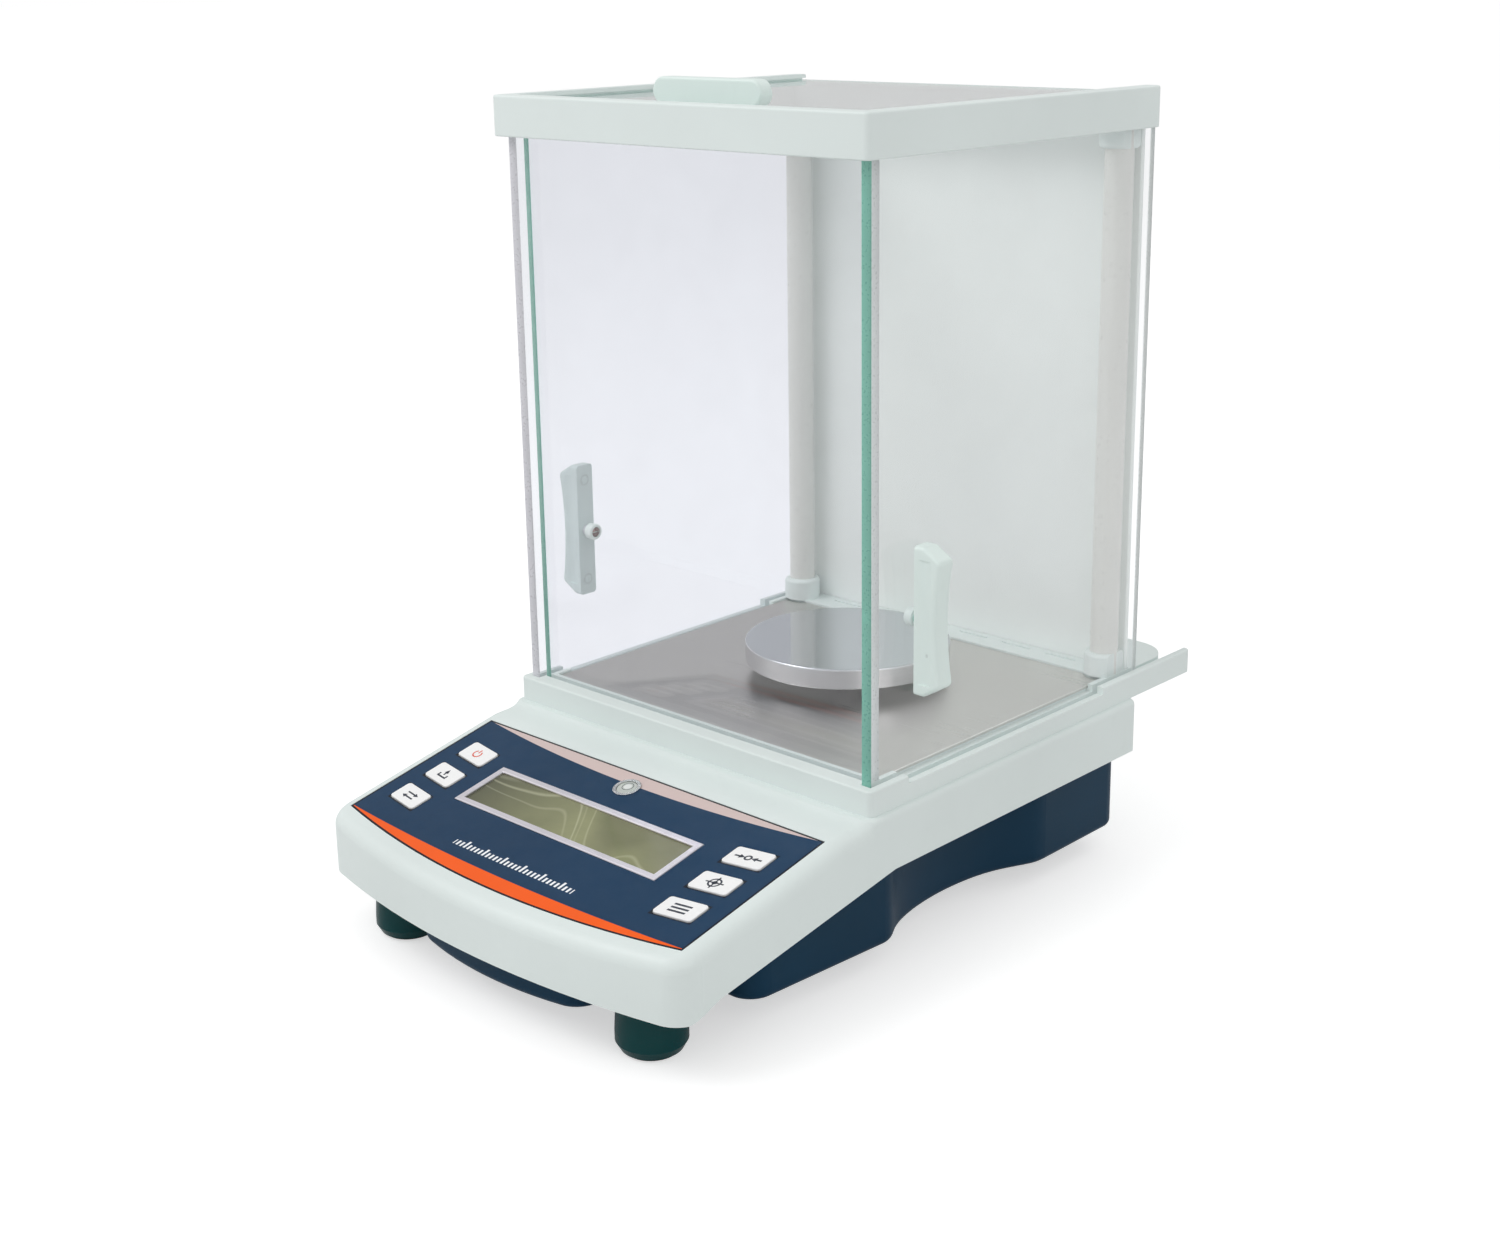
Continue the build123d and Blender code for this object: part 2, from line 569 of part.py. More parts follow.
with BuildPart() as windshield_base:
    with BuildSketch(Plane.XY.offset(DECK_Z)):
        with Locations((0, (SHIELD_FRONT_Y + RAIL_TIP_Y) / 2)):
            RectangleRounded(2 * SHIELD_HALF_W, RAIL_TIP_Y - SHIELD_FRONT_Y, 2.6)
    extrude(amount=BASE_TOP_Z - DECK_Z)
    top_rim = windshield_base.faces().sort_by(Axis.Z)[-1].edges()
    fillet(top_rim, 0.9)
    # sliding grooves for the side doors, open at the back
    with BuildSketch(Plane.XY.offset(GROOVE_FLOOR_Z)):
        with Locations(*[(side * GROOVE_MID, DOOR_FRONT_Y - GROOVE_GAP) for side in BOTH_SIDES]):
            Rectangle(GROOVE_W, DOOR_RUN + 5, align=(Align.CENTER, Align.MIN))
        with Locations((0, FRONT_PANE_Y + FRONT_PANE_T / 2)):
            Rectangle(2 * FRONT_PANE_HALF_W + 0.2, FRONT_PANE_T + 2 * GROOVE_GAP)
        with Locations((0, BACK_PANEL_Y)):
            Rectangle(2 * BACK_PANEL_HALF_W + 0.6, BACK_PANEL_T + 0.6)
    extrude(amount=20, mode=Mode.SUBTRACT)
    # seat of the floor plate, and the opening below it
    with BuildSketch(Plane.XY.offset(PLATE_TOP_Z - PLATE_T)):
        with Locations((0, PLATE_FRONT_Y - 0.3)):
            Rectangle(2 * PLATE_HALF_W + 0.6, PLATE_LENGTH + 0.6, align=(Align.CENTER, Align.MIN))
    extrude(amount=10, mode=Mode.SUBTRACT)
    with BuildSketch(Plane.XY.offset(DECK_Z)):
        with Locations((0, BASE_OPENING_Y)):
            RectangleRounded(BASE_OPENING_W, BASE_OPENING_LENGTH, 10)
    extrude(amount=12, mode=Mode.SUBTRACT)
    # tail plate, lower than the rails on both sides of it
    with BuildSketch(Plane.XY.offset(TAIL_TOP_Z)):
        with Locations((0, SHIELD_TOP_REAR_Y + 1.5)):
            Rectangle(2 * GROOVE_IN, 60, align=(Align.CENTER, Align.MIN))
    extrude(amount=10, mode=Mode.SUBTRACT)
    with BuildSketch(Plane.XY.offset(DECK_Z)):
        with Locations((0, TAIL_REAR_Y - TAIL_CORNER_R)):
            Rectangle(2 * GROOVE_IN, TAIL_CORNER_R + 8, align=(Align.CENTER, Align.MIN))
        with Locations((0, TAIL_REAR_Y)):
            tail_align = (Align.CENTER, Align.MAX)
            RectangleRounded(
                2 * GROOVE_IN, 3 * TAIL_CORNER_R, TAIL_CORNER_R, align=tail_align, mode=Mode.SUBTRACT
            )
    extrude(amount=20, mode=Mode.SUBTRACT)
    # finger relief along both lips of each groove
    for side in BOTH_SIDES:
        with BuildSketch(Plane.XY.offset(BASE_TOP_Z - NOTCH_DROP)):
            with Locations((side * (PLATE_HALF_W - 0.5), NOTCH_Y[0])):
                Rectangle(
                    SHIELD_HALF_W - PLATE_HALF_W + 5,
                    NOTCH_Y[1] - NOTCH_Y[0],
                    align=(Align.MIN if side > 0 else Align.MAX, Align.MIN),
                )
        extrude(amount=10, mode=Mode.SUBTRACT)
    # row of short slots in the ledge in front of the back panel
    with BuildSketch(Plane.XY.offset(BASE_TOP_Z - SLOT_DEPTH)):
        with Locations((0, SLOT_Y)):
            with GridLocations(SLOT_PITCH, 1, 6, 1):
                Rectangle(SLOT_LENGTH, SLOT_W)
    extrude(amount=SLOT_DEPTH, mode=Mode.SUBTRACT)
    with Locations(*[(side * COLUMN_X, COLUMN_Y, BASE_TOP_Z) for side in BOTH_SIDES]):
        Hole(TIE_ROD_R + 0.3, 20)
windshield_base.part.label = "windshield_base"
export_step(windshield_base.part, "parts/windshield_base.step")

with BuildPart() as floor_plate:
    with BuildSketch(Plane.XY.offset(PLATE_TOP_Z - PLATE_T)):
        with Locations((0, PLATE_FRONT_Y)):
            Rectangle(2 * PLATE_HALF_W, PLATE_LENGTH, align=(Align.CENTER, Align.MIN))
        with Locations(*[(side * COLUMN_X, COLUMN_Y) for side in BOTH_SIDES]):
            Circle(COLLAR_R + 0.5, mode=Mode.SUBTRACT)
        with Locations((0, PAN_Y)):
            Circle(10, mode=Mode.SUBTRACT)
    extrude(amount=PLATE_T)
    chamfer(floor_plate.edges().group_by(Axis.Z)[-1].filter_by(GeomType.LINE), 0.3)
floor_plate.part.label = "floor_plate"
export_step(floor_plate.part, "parts/floor_plate.step")


# ---------------------------------------------------------------- glass
GLASS_H = GLASS_Z[1] - GLASS_Z[0]
HANDLE_Z = 144.3
HANDLE_CENTRE_Y = {-1: -15.0, 1: -21.0}
HANDLE_SCREW_R = 2.0

with BuildPart() as front_glass:
    with Locations((0, FRONT_PANE_Y, GLASS_Z[0])):
        Box(2 * FRONT_PANE_HALF_W, FRONT_PANE_T, GLASS_H, align=BACKWARD)
    chamfer(front_glass.edges().filter_by(Axis.Z), 0.4)
front_glass.part.label = "front_glass"
export_step(front_glass.part, "parts/front_glass.step")

for side in BOTH_SIDES:
    with BuildPart() as door_glass:
        with Locations((side * (DOOR_INNER_X + DOOR_T / 2), DOOR_FRONT_Y, GLASS_Z[0])):
            Box(DOOR_T, DOOR_LENGTH, GLASS_H, align=BACKWARD)
        chamfer(door_glass.edges().filter_by(Axis.Z), 0.4)
        with BuildSketch(Plane.YZ):
            with Locations((HANDLE_CENTRE_Y[side], HANDLE_Z)):
                Circle(HANDLE_SCREW_R + 0.3)
        extrude(amount=side * 120, mode=Mode.SUBTRACT)
    door_glass.part.label = f"{SIDE_NAME[side]}_door_glass"
    export_step(door_glass.part, f"parts/{SIDE_NAME[side]}_door_glass.step")

TOP_GLASS_HALF_W = 98.7
TOP_GLASS_FRONT_Y = -49.5
TOP_HANDLE_Y = -30.2
TOP_HANDLE_SCREWS = [(x, TOP_HANDLE_Y, TOP_GLASS_Z + TOP_GLASS_T) for x in (-18, 18)]

with BuildPart() as top_door_glass:
    with Locations((0, TOP_GLASS_FRONT_Y, TOP_GLASS_Z)):
        Box(2 * TOP_GLASS_HALF_W, SHIELD_TOP_REAR_Y - TOP_GLASS_FRONT_Y, TOP_GLASS_T, align=BACKWARD)
    chamfer(top_door_glass.edges().filter_by(Axis.X), 0.4)
    with Locations(*TOP_HANDLE_SCREWS):
        Hole(1.9, 10)
top_door_glass.part.label = "top_door_glass"
export_step(top_door_glass.part, "parts/top_door_glass.step")


# ---------------------------------------------------------------- door handles
HANDLE_HALF_L = 30.6
HANDLE_END_OUT = 12.7
HANDLE_MID_OUT = 10.3
HANDLE_W = 9.4
PAD_GAP = 0.1  # thin bonding pad between the glass and what is fastened to it
DISH_R = 9.0  # radius of the hollow along both flanks of a handle
DISH_DEPTH = 0.6
DISH_OUT = 5.0
DISH_END = 5.0
BOSS_R = 3.7
BOSS_PROUD = 3.8
BOSS_RECESS_R = 2.4
BOSS_RECESS_DEPTH = 1.0

for side in BOTH_SIDES:
    glass_face = side * (DOOR_INNER_X + DOOR_T + PAD_GAP)
    with BuildPart() as door_handle:
        # outline seen from the front: hollowed along the outer edge, sloping ends
        with BuildSketch(Plane.XZ.offset(-HANDLE_CENTRE_Y[side] - HANDLE_W / 2)) as profile:
            with BuildLine():
                Polyline(
                    (glass_face + side * HANDLE_END_OUT, HANDLE_Z - HANDLE_HALF_L + 5),
                    (glass_face + side * 4.5, HANDLE_Z - HANDLE_HALF_L),
                    (glass_face, HANDLE_Z - HANDLE_HALF_L),
                    (glass_face, HANDLE_Z + HANDLE_HALF_L),
                    (glass_face + side * 4.5, HANDLE_Z + HANDLE_HALF_L),
                    (glass_face + side * HANDLE_END_OUT, HANDLE_Z + HANDLE_HALF_L - 5),
                )
                ThreePointArc(
                    (glass_face + side * HANDLE_END_OUT, HANDLE_Z + HANDLE_HALF_L - 5),
                    (glass_face + side * HANDLE_MID_OUT, HANDLE_Z),
                    (glass_face + side * HANDLE_END_OUT, HANDLE_Z - HANDLE_HALF_L + 5),
                )
            make_face()
            fillet(profile.vertices().filter_by(lambda v: abs(v.X - glass_face) > 1), 2.5)
        extrude(amount=HANDLE_W)
        flank_edges = door_handle.edges().filter_by(
            lambda e: abs(abs(e.center().Y - HANDLE_CENTRE_Y[side]) - HANDLE_W / 2) < 0.1
        )
        fillet(flank_edges.filter_by(lambda e: abs(e.center().X - glass_face) > 2), 1.6)
        dish_x = glass_face + side * DISH_OUT
        dish_away = HANDLE_W / 2 + DISH_R - DISH_DEPTH
        dish_centres = [
            (dish_x, HANDLE_CENTRE_Y[side] + flank * dish_away, HANDLE_Z) for flank in BOTH_SIDES
        ]
        with Locations(*dish_centres):
            Cylinder(DISH_R, 2 * (HANDLE_HALF_L - DISH_END), mode=Mode.SUBTRACT)
        with BuildSketch(Plane.YZ.offset(glass_face)):
            with Locations((HANDLE_CENTRE_Y[side], HANDLE_Z)):
                Circle(HANDLE_SCREW_R - 0.2)
        extrude(amount=side * 6, mode=Mode.SUBTRACT)
    door_handle.part.label = f"{SIDE_NAME[side]}_door_handle"
    export_step(door_handle.part, f"parts/{SIDE_NAME[side]}_door_handle.step")

    # boss on the chamber side of the door, with its shank through the glass into the handle
    boss_base_x = side * (DOOR_INNER_X - PAD_GAP)
    boss_end_x = boss_base_x - side * BOSS_PROUD
    with BuildPart() as handle_screw:
        with BuildSketch(Plane.YZ.offset(boss_base_x)):
            with Locations((HANDLE_CENTRE_Y[side], HANDLE_Z)):
                Circle(BOSS_R)
        extrude(amount=-side * BOSS_PROUD)
        fillet(handle_screw.faces().sort_by(Axis.X)[0 if side > 0 else -1].edges(), 0.7)
        with BuildSketch(Plane.YZ.offset(boss_base_x)):
            with Locations((HANDLE_CENTRE_Y[side], HANDLE_Z)):
                Circle(HANDLE_SCREW_R - 0.25)
        extrude(amount=side * 9.5)
        with BuildSketch(Plane.YZ.offset(boss_end_x)):
            with Locations((HANDLE_CENTRE_Y[side], HANDLE_Z)):
                Circle(BOSS_RECESS_R)
        extrude(amount=side * BOSS_RECESS_DEPTH, mode=Mode.SUBTRACT)
    handle_screw.part.label = f"{SIDE_NAME[side]}_handle_screw"
    export_step(handle_screw.part, f"parts/{SIDE_NAME[side]}_handle_screw.step")

TOP_HANDLE_BASE = 66.0
TOP_HANDLE_T = 7.4
TOP_HANDLE_TOP_Z = 350.4

with BuildPart() as top_door_handle:
    base_z = TOP_GLASS_Z + TOP_GLASS_T + PAD_GAP
    with BuildSketch(Plane.XZ.offset(-TOP_HANDLE_Y - TOP_HANDLE_T / 2)) as profile:
        Polygon(
            (-TOP_HANDLE_BASE / 2, base_z),
            (TOP_HANDLE_BASE / 2, base_z),
            (TOP_HANDLE_BASE / 2 - 5, TOP_HANDLE_TOP_Z),
            (-TOP_HANDLE_BASE / 2 + 5, TOP_HANDLE_TOP_Z),
            align=None,
        )
        fillet(profile.vertices().group_by(Axis.Z)[-1], 5)
    extrude(amount=TOP_HANDLE_T)
    upper_edges = top_door_handle.edges().filter_by(lambda e: e.center().Z > base_z + 3)
    fillet(upper_edges.filter_by(Axis.Y, reverse=True), 1.2)
    with Locations(*TOP_HANDLE_SCREWS):
        Cylinder(1.5, 8, align=(Align.CENTER, Align.CENTER, Align.CENTER), mode=Mode.SUBTRACT)
top_door_handle.part.label = "top_door_handle"
export_step(top_door_handle.part, "parts/top_door_handle.step")


# ---------------------------------------------------------------- back panel, columns, top frame
with BuildPart() as back_panel:
    with Locations((0, BACK_PANEL_Y, GLASS_Z[0])):
        Box(2 * BACK_PANEL_HALF_W, BACK_PANEL_T, GLASS_H, align=FLOOR_UP)
    chamfer(back_panel.edges().filter_by(Axis.Z), 0.5)
back_panel.part.label = "back_panel"
export_step(back_panel.part, "parts/back_panel.step")

LOWER_COLLAR_H = 10.3
UPPER_COLLAR_H = 8.4
COLLAR_Z = {"lower": BASE_TOP_Z, "upper": TOP_FRAME_Z - UPPER_COLLAR_H}
COLLAR_H = {"lower": LOWER_COLLAR_H, "upper": UPPER_COLLAR_H}

for side in BOTH_SIDES:
    with BuildPart() as column:
        with Locations((side * COLUMN_X, COLUMN_Y, BASE_TOP_Z)):
            Cylinder(COLUMN_R, TOP_FRAME_Z - BASE_TOP_Z, align=FLOOR_UP)
            Cylinder(TIE_ROD_R + 0.2, TOP_FRAME_Z - BASE_TOP_Z, align=FLOOR_UP, mode=Mode.SUBTRACT)
    column.part.label = f"{SIDE_NAME[side]}_column"
    export_step(column.part, f"parts/{SIDE_NAME[side]}_column.step")
    for level in ("lower", "upper"):
        with BuildPart() as collar:
            with Locations((side * COLUMN_X, COLUMN_Y, COLLAR_Z[level])):
                Cylinder(COLLAR_R, COLLAR_H[level], align=FLOOR_UP)
            free_end = collar.faces().sort_by(Axis.Z)[-1 if level == "lower" else 0]
            fillet(free_end.edges(), 1.8)
            with Locations((side * COLUMN_X, COLUMN_Y, COLLAR_Z[level])):
                Cylinder(COLUMN_R + 0.02, COLLAR_H[level], align=FLOOR_UP, mode=Mode.SUBTRACT)
            with Locations((side * COLLAR_FLAT_X, COLUMN_Y, COLLAR_Z[level])):
                outward = (Align.MIN if side > 0 else Align.MAX, Align.CENTER, Align.MIN)
                Box(10, 40, 20, align=outward, mode=Mode.SUBTRACT)
        collar.part.label = f"{SIDE_NAME[side]}_{level}_collar"
        export_step(collar.part, f"parts/{SIDE_NAME[side]}_{level}_collar.step")

TOP_CHANNEL = (334.9, 340.3)
TOP_OPENING_W = 193.6  # between the lips that hold the top glass down
CHAMBER_FRONT_Y = -38.0
CHAMBER_W = 166.0
CHAMBER_LENGTH = 148.0
NUT_H = 3.2
NUT_HALF_FLATS = 3.2
ROD_Z = (DECK_Z - WALL - NUT_H - 2.0, TOP_FRAME_Z + 9.0)

with BuildPart() as top_frame:
    with BuildSketch(Plane.XY.offset(TOP_FRAME_Z)):
        with Locations((0, (SHIELD_FRONT_Y - 1.5 + SHIELD_TOP_REAR_Y) / 2)):
            RectangleRounded(2 * SHIELD_HALF_W + 0.2, SHIELD_TOP_REAR_Y - SHIELD_FRONT_Y + 1.5, 2.6)
    extrude(amount=TOP_FRAME_TOP_Z - TOP_FRAME_Z)
    fillet(top_frame.faces().sort_by(Axis.Z)[-1].edges(), 1.1)
    fillet(top_frame.faces().sort_by(Axis.Z)[0].edges(), 0.7)
    # chamber opening
    with BuildSketch(Plane.XY.offset(TOP_FRAME_Z)):
        with Locations((0, CHAMBER_FRONT_Y)):
            Rectangle(CHAMBER_W, CHAMBER_LENGTH, align=(Align.CENTER, Align.MIN))
    extrude(amount=20, mode=Mode.SUBTRACT)
    # channel of the top glass, and the wider opening above it
    with BuildSketch(Plane.XY.offset(TOP_CHANNEL[0])):
        with Locations((0, TOP_GLASS_FRONT_Y - 0.5)):
            Rectangle(2 * TOP_GLASS_HALF_W + 1, 200, align=(Align.CENTER, Align.MIN))
    extrude(amount=TOP_CHANNEL[1] - TOP_CHANNEL[0], mode=Mode.SUBTRACT)
    with BuildSketch(Plane.XY.offset(TOP_CHANNEL[1])):
        with Locations((0, TOP_GLASS_FRONT_Y)):
            Rectangle(TOP_OPENING_W, 200, align=(Align.CENTER, Align.MIN))
    extrude(amount=10, mode=Mode.SUBTRACT)
    # grooves for the panes and the back panel
    with BuildSketch(Plane.XY.offset(TOP_FRAME_Z)):
        with Locations(*[(side * GROOVE_MID, DOOR_FRONT_Y - GROOVE_GAP) for side in BOTH_SIDES]):
            Rectangle(GROOVE_W, 220, align=(Align.CENTER, Align.MIN))
        with Locations((0, FRONT_PANE_Y + FRONT_PANE_T / 2)):
            Rectangle(2 * FRONT_PANE_HALF_W + 0.2, FRONT_PANE_T + 2 * GROOVE_GAP)
        with Locations((0, BACK_PANEL_Y)):
            Rectangle(2 * BACK_PANEL_HALF_W + 0.6, BACK_PANEL_T + 0.6)
    extrude(amount=GLASS_Z[1] - TOP_FRAME_Z + 0.4, mode=Mode.SUBTRACT)
    with Locations(*[(side * COLUMN_X, COLUMN_Y, TOP_FRAME_Z) for side in BOTH_SIDES]):
        Cylinder(TIE_ROD_R + 0.3, ROD_Z[1] - TOP_FRAME_Z + 0.4, align=FLOOR_UP, mode=Mode.SUBTRACT)
top_frame.part.label = "top_frame"
export_step(top_frame.part, "parts/top_frame.step")

with BuildPart() as tie_rods:
    with Locations(*[(side * COLUMN_X, COLUMN_Y, ROD_Z[0]) for side in BOTH_SIDES]):
        Cylinder(TIE_ROD_R, ROD_Z[1] - ROD_Z[0], align=FLOOR_UP)
tie_rods.part.label = "tie_rods"
export_step(tie_rods.part, "parts/tie_rods.step")

with BuildPart() as tie_rod_nuts:
    with BuildSketch(Plane.XY.offset(DECK_Z - WALL - NUT_H)):
        with Locations(*[(side * COLUMN_X, COLUMN_Y) for side in BOTH_SIDES]):
            RegularPolygon(NUT_HALF_FLATS, 6, rotation=0, major_radius=False)
            Circle(TIE_ROD_R + 0.02, mode=Mode.SUBTRACT)
    extrude(amount=NUT_H)
tie_rod_nuts.part.label = "tie_rod_nuts"
export_step(tie_rod_nuts.part, "parts/tie_rod_nuts.step")


# ---------------------------------------------------------------- weighing pan and load cell
PAN_SKIN = 1.6
PAN_SEAT_Z = 86.0
PAN_POST_R = 4.0
RECEIVER_TOP_Z = 46.5

with BuildPart() as weighing_pan:
    with BuildSketch(Plane.YZ):
        with Locations((PAN_Y, 0)):
            Polygon(
                (0, PAN_TOP_Z),
                (PAN_R, PAN_TOP_Z),
                (PAN_R, PAN_TOP_Z - PAN_H),
                (PAN_R - PAN_SKIN, PAN_TOP_Z - PAN_H),
                (PAN_R - PAN_SKIN, PAN_TOP_Z - PAN_SKIN),
                (9, PAN_TOP_Z - PAN_SKIN),
                (9, PAN_SEAT_Z),
                (PAN_POST_R + 0.05, PAN_SEAT_Z),
                (PAN_POST_R + 0.05, PAN_TOP_Z - 3),
                (0, PAN_TOP_Z - 3),
                align=None,
            )
    revolve(axis=Axis((0, PAN_Y, 0), (0, 0, 1)))
    pan_rims = weighing_pan.edges().filter_by(GeomType.CIRCLE).filter_by(lambda e: e.radius > PAN_R - 0.1)
    fillet(pan_rims, 0.7)
weighing_pan.part.label = "weighing_pan"
export_step(weighing_pan.part, "parts/weighing_pan.step")

with BuildPart() as pan_support:
    with Locations((0, PAN_Y, RECEIVER_TOP_Z)):
        Cylinder(5, PAN_SEAT_Z - RECEIVER_TOP_Z, align=FLOOR_UP)
        Cylinder(PAN_POST_R, PAN_TOP_Z - 3.4 - RECEIVER_TOP_Z, align=FLOOR_UP)
    chamfer(pan_support.edges().group_by(Axis.Z)[-1], 0.8)
pan_support.part.label = "pan_support"
export_step(pan_support.part, "parts/pan_support.step")

with BuildPart() as load_receiver:
    with Locations((0, PAN_Y, 22.5)):
        Box(24, 22, RECEIVER_TOP_Z - 22.5, align=FLOOR_UP)
    fillet(load_receiver.edges().filter_by(Axis.Z), 2)
load_receiver.part.label = "load_receiver"
export_step(load_receiver.part, "parts/load_receiver.step")

CELL_FLOOR_Z = TUB_FLOOR_Z + TUB_WALL
CELL_BASE_T = 5.4
CHEEK_H = 32.0
CHEEK_X = (12.0, 22.0)
SHAFT_R = 2.0

with BuildPart() as sensor_frame:
    with Locations((0, -20, CELL_FLOOR_Z)):
        Box(64, 104, CELL_BASE_T, align=BACKWARD)
    with Locations(*[(side * sum(CHEEK_X) / 2, -14, CELL_FLOOR_Z + CELL_BASE_T) for side in BOTH_SIDES]):
        Box(CHEEK_X[1] - CHEEK_X[0], 46, CHEEK_H, align=BACKWARD)
    fillet(sensor_frame.edges().filter_by(Axis.Z), 1.5)
    with BuildSketch(Plane.YZ.offset(-40)):
        with Locations(LEVER_PIVOT):
            Circle(SHAFT_R)
    extrude(amount=80, mode=Mode.SUBTRACT)
    with BuildSketch(Plane.XY.offset(CELL_FLOOR_Z)):
        with Locations((0, COIL_Y)):
            Circle(20.4)
    extrude(amount=6, mode=Mode.SUBTRACT)
sensor_frame.part.label = "sensor_frame"
export_step(sensor_frame.part, "parts/sensor_frame.step")

with BuildPart() as parallel_guides:
    with BuildSketch(Plane.XY.offset(CELL_FLOOR_Z + CELL_BASE_T + CHEEK_H)):
        with Locations((0, -12)):
            Rectangle(44, 74, align=(Align.CENTER, Align.MIN))
        with Locations((0, PAN_Y)):
            Circle(7, mode=Mode.SUBTRACT)
        with Locations((0, 12)):
            Rectangle(20, 34, mode=Mode.SUBTRACT)
    extrude(amount=1.2)
    with BuildSketch(Plane.XY.offset(CELL_FLOOR_Z + CELL_BASE_T)):
        with Locations((0, -12)):
            Rectangle(22, 74, align=(Align.CENTER, Align.MIN))
    extrude(amount=1.2)
parallel_guides.part.label = "parallel_guides"
export_step(parallel_guides.part, "parts/parallel_guides.step")

with BuildPart() as force_lever:
    with BuildSketch(Plane.YZ.offset(-4)):
        Polygon((-58, 32), (-36, 32), (14, 29.5), (38.5, 31), (38.5, 37), (14, 38.5), (-58, 36), align=None)
    extrude(amount=8)
    with BuildSketch(Plane.YZ.offset(-0.6)):
        Polygon((-69, 33), (-57, 33), (-57, 35.5), (-69, 35.5), align=None)
    extrude(amount=1.2)
    with BuildSketch(Plane.YZ.offset(-10)):
        with Locations(LEVER_PIVOT):
            Circle(SHAFT_R + 0.05)
    extrude(amount=20, mode=Mode.SUBTRACT)
force_lever.part.label = "force_lever"
export_step(force_lever.part, "parts/force_lever.step")

with BuildPart() as lever_shaft:
    with BuildSketch(Plane.YZ.offset(-CHEEK_X[1])):
        with Locations(LEVER_PIVOT):
            Circle(SHAFT_R)
    extrude(amount=2 * CHEEK_X[1])
lever_shaft.part.label = "lever_shaft"
export_step(lever_shaft.part, "parts/lever_shaft.step")

with BuildPart() as coil:
    with Locations((0, COIL_Y, 20)):
        Cylinder(12, 12, align=FLOOR_UP)
        Cylinder(9.8, 10, align=FLOOR_UP, mode=Mode.SUBTRACT)
coil.part.label = "coil"
export_step(coil.part, "parts/coil.step")

with BuildPart() as magnet_pot:
    with Locations((0, COIL_Y, CELL_FLOOR_Z)):
        Cylinder(20, 14, align=FLOOR_UP)
    with Locations((0, COIL_Y, CELL_FLOOR_Z + 4)):
        Cylinder(13.4, 20, align=FLOOR_UP, mode=Mode.SUBTRACT)
        Cylinder(8.2, 10, align=FLOOR_UP)
    chamfer(magnet_pot.edges().group_by(Axis.Z)[-1], 0.5)
magnet_pot.part.label = "magnet_pot"
export_step(magnet_pot.part, "parts/magnet_pot.step")

with BuildPart() as position_sensor:
    with Locations((0, -70, CELL_FLOOR_Z)):
        Box(16, 7, 29, align=FLOOR_UP)
    with Locations((0, -70, 26)):
        Box(4, 10, 30, align=FLOOR_UP, mode=Mode.SUBTRACT)
position_sensor.part.label = "position_sensor"
export_step(position_sensor.part, "parts/position_sensor.step")


# ---------------------------------------------------------------- feet
FOOT_TOP_Z = 23.5
STUD_R = 3.0
STUD_L = 36.0
PAD_R = 11.2
PAD_T = 3.1

for side in BOTH_SIDES:
    with BuildPart() as foot_knob:
        with BuildSketch(Plane.XZ) as profile:
            Polygon(
                (STUD_R + 0.05, 3.2),
                (11.4, 3.2),
                (11.4, 1.2),
                (12.2, 1.2),
                (FOOT_R, 4.6),
                (FOOT_R, 8.5),
                (FOOT_R - 0.8, FOOT_TOP_Z - 1.5),
                (FOOT_R - 2.3, FOOT_TOP_Z),
                (STUD_R + 0.05, FOOT_TOP_Z),
                align=None,
            )
        revolve(axis=Axis.Z)
    knob = foot_knob.part.moved(Location((side * FOOT_X, FOOT_Y, 0)))
    knob.label = f"{SIDE_NAME[side]}_foot_knob"
    export_step(knob, f"parts/{SIDE_NAME[side]}_foot_knob.step")

    with BuildPart() as foot_stud:
        with Locations((side * FOOT_X, FOOT_Y, PAD_T)):
            Cylinder(STUD_R, STUD_L, align=FLOOR_UP)
        chamfer(foot_stud.edges().group_by(Axis.Z)[-1], 0.6)
    foot_stud.part.label = f"{SIDE_NAME[side]}_foot_stud"
    export_step(foot_stud.part, f"parts/{SIDE_NAME[side]}_foot_stud.step")

    with BuildPart() as foot_pad:
        with Locations((side * FOOT_X, FOOT_Y, 0)):
            Cylinder(PAD_R, PAD_T, align=FLOOR_UP)
        chamfer(foot_pad.edges().group_by(Axis.Z)[0], 0.6)
    foot_pad.part.label = f"{SIDE_NAME[side]}_foot_pad"
    export_step(foot_pad.part, f"parts/{SIDE_NAME[side]}_foot_pad.step")

with BuildPart() as foot_inserts:
    with Locations(*[(side * FOOT_X, FOOT_Y, FOOT_PLATE_Z) for side in BOTH_SIDES]):
        Cylinder(INSERT_R, INSERT_TOP_Z - FOOT_PLATE_Z, align=FLOOR_UP)
        Cylinder(STUD_R + 0.08, INSERT_TOP_Z - FOOT_PLATE_Z, align=FLOOR_UP, mode=Mode.SUBTRACT)
foot_inserts.part.label = "foot_inserts"
export_step(foot_inserts.part, "parts/foot_inserts.step")

with BuildPart() as rear_feet:
    with Locations(*[(side * REAR_FOOT[0], REAR_FOOT[1], 0) for side in BOTH_SIDES]):
        Cylinder(10, TUB_FLOOR_Z, align=FLOOR_UP)
    chamfer(rear_feet.edges().group_by(Axis.Z)[0], 1)
rear_feet.part.label = "rear_feet"
export_step(rear_feet.part, "parts/rear_feet.step")
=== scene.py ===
import json
import math

import bmesh
import bpy
from mathutils import Matrix, Vector


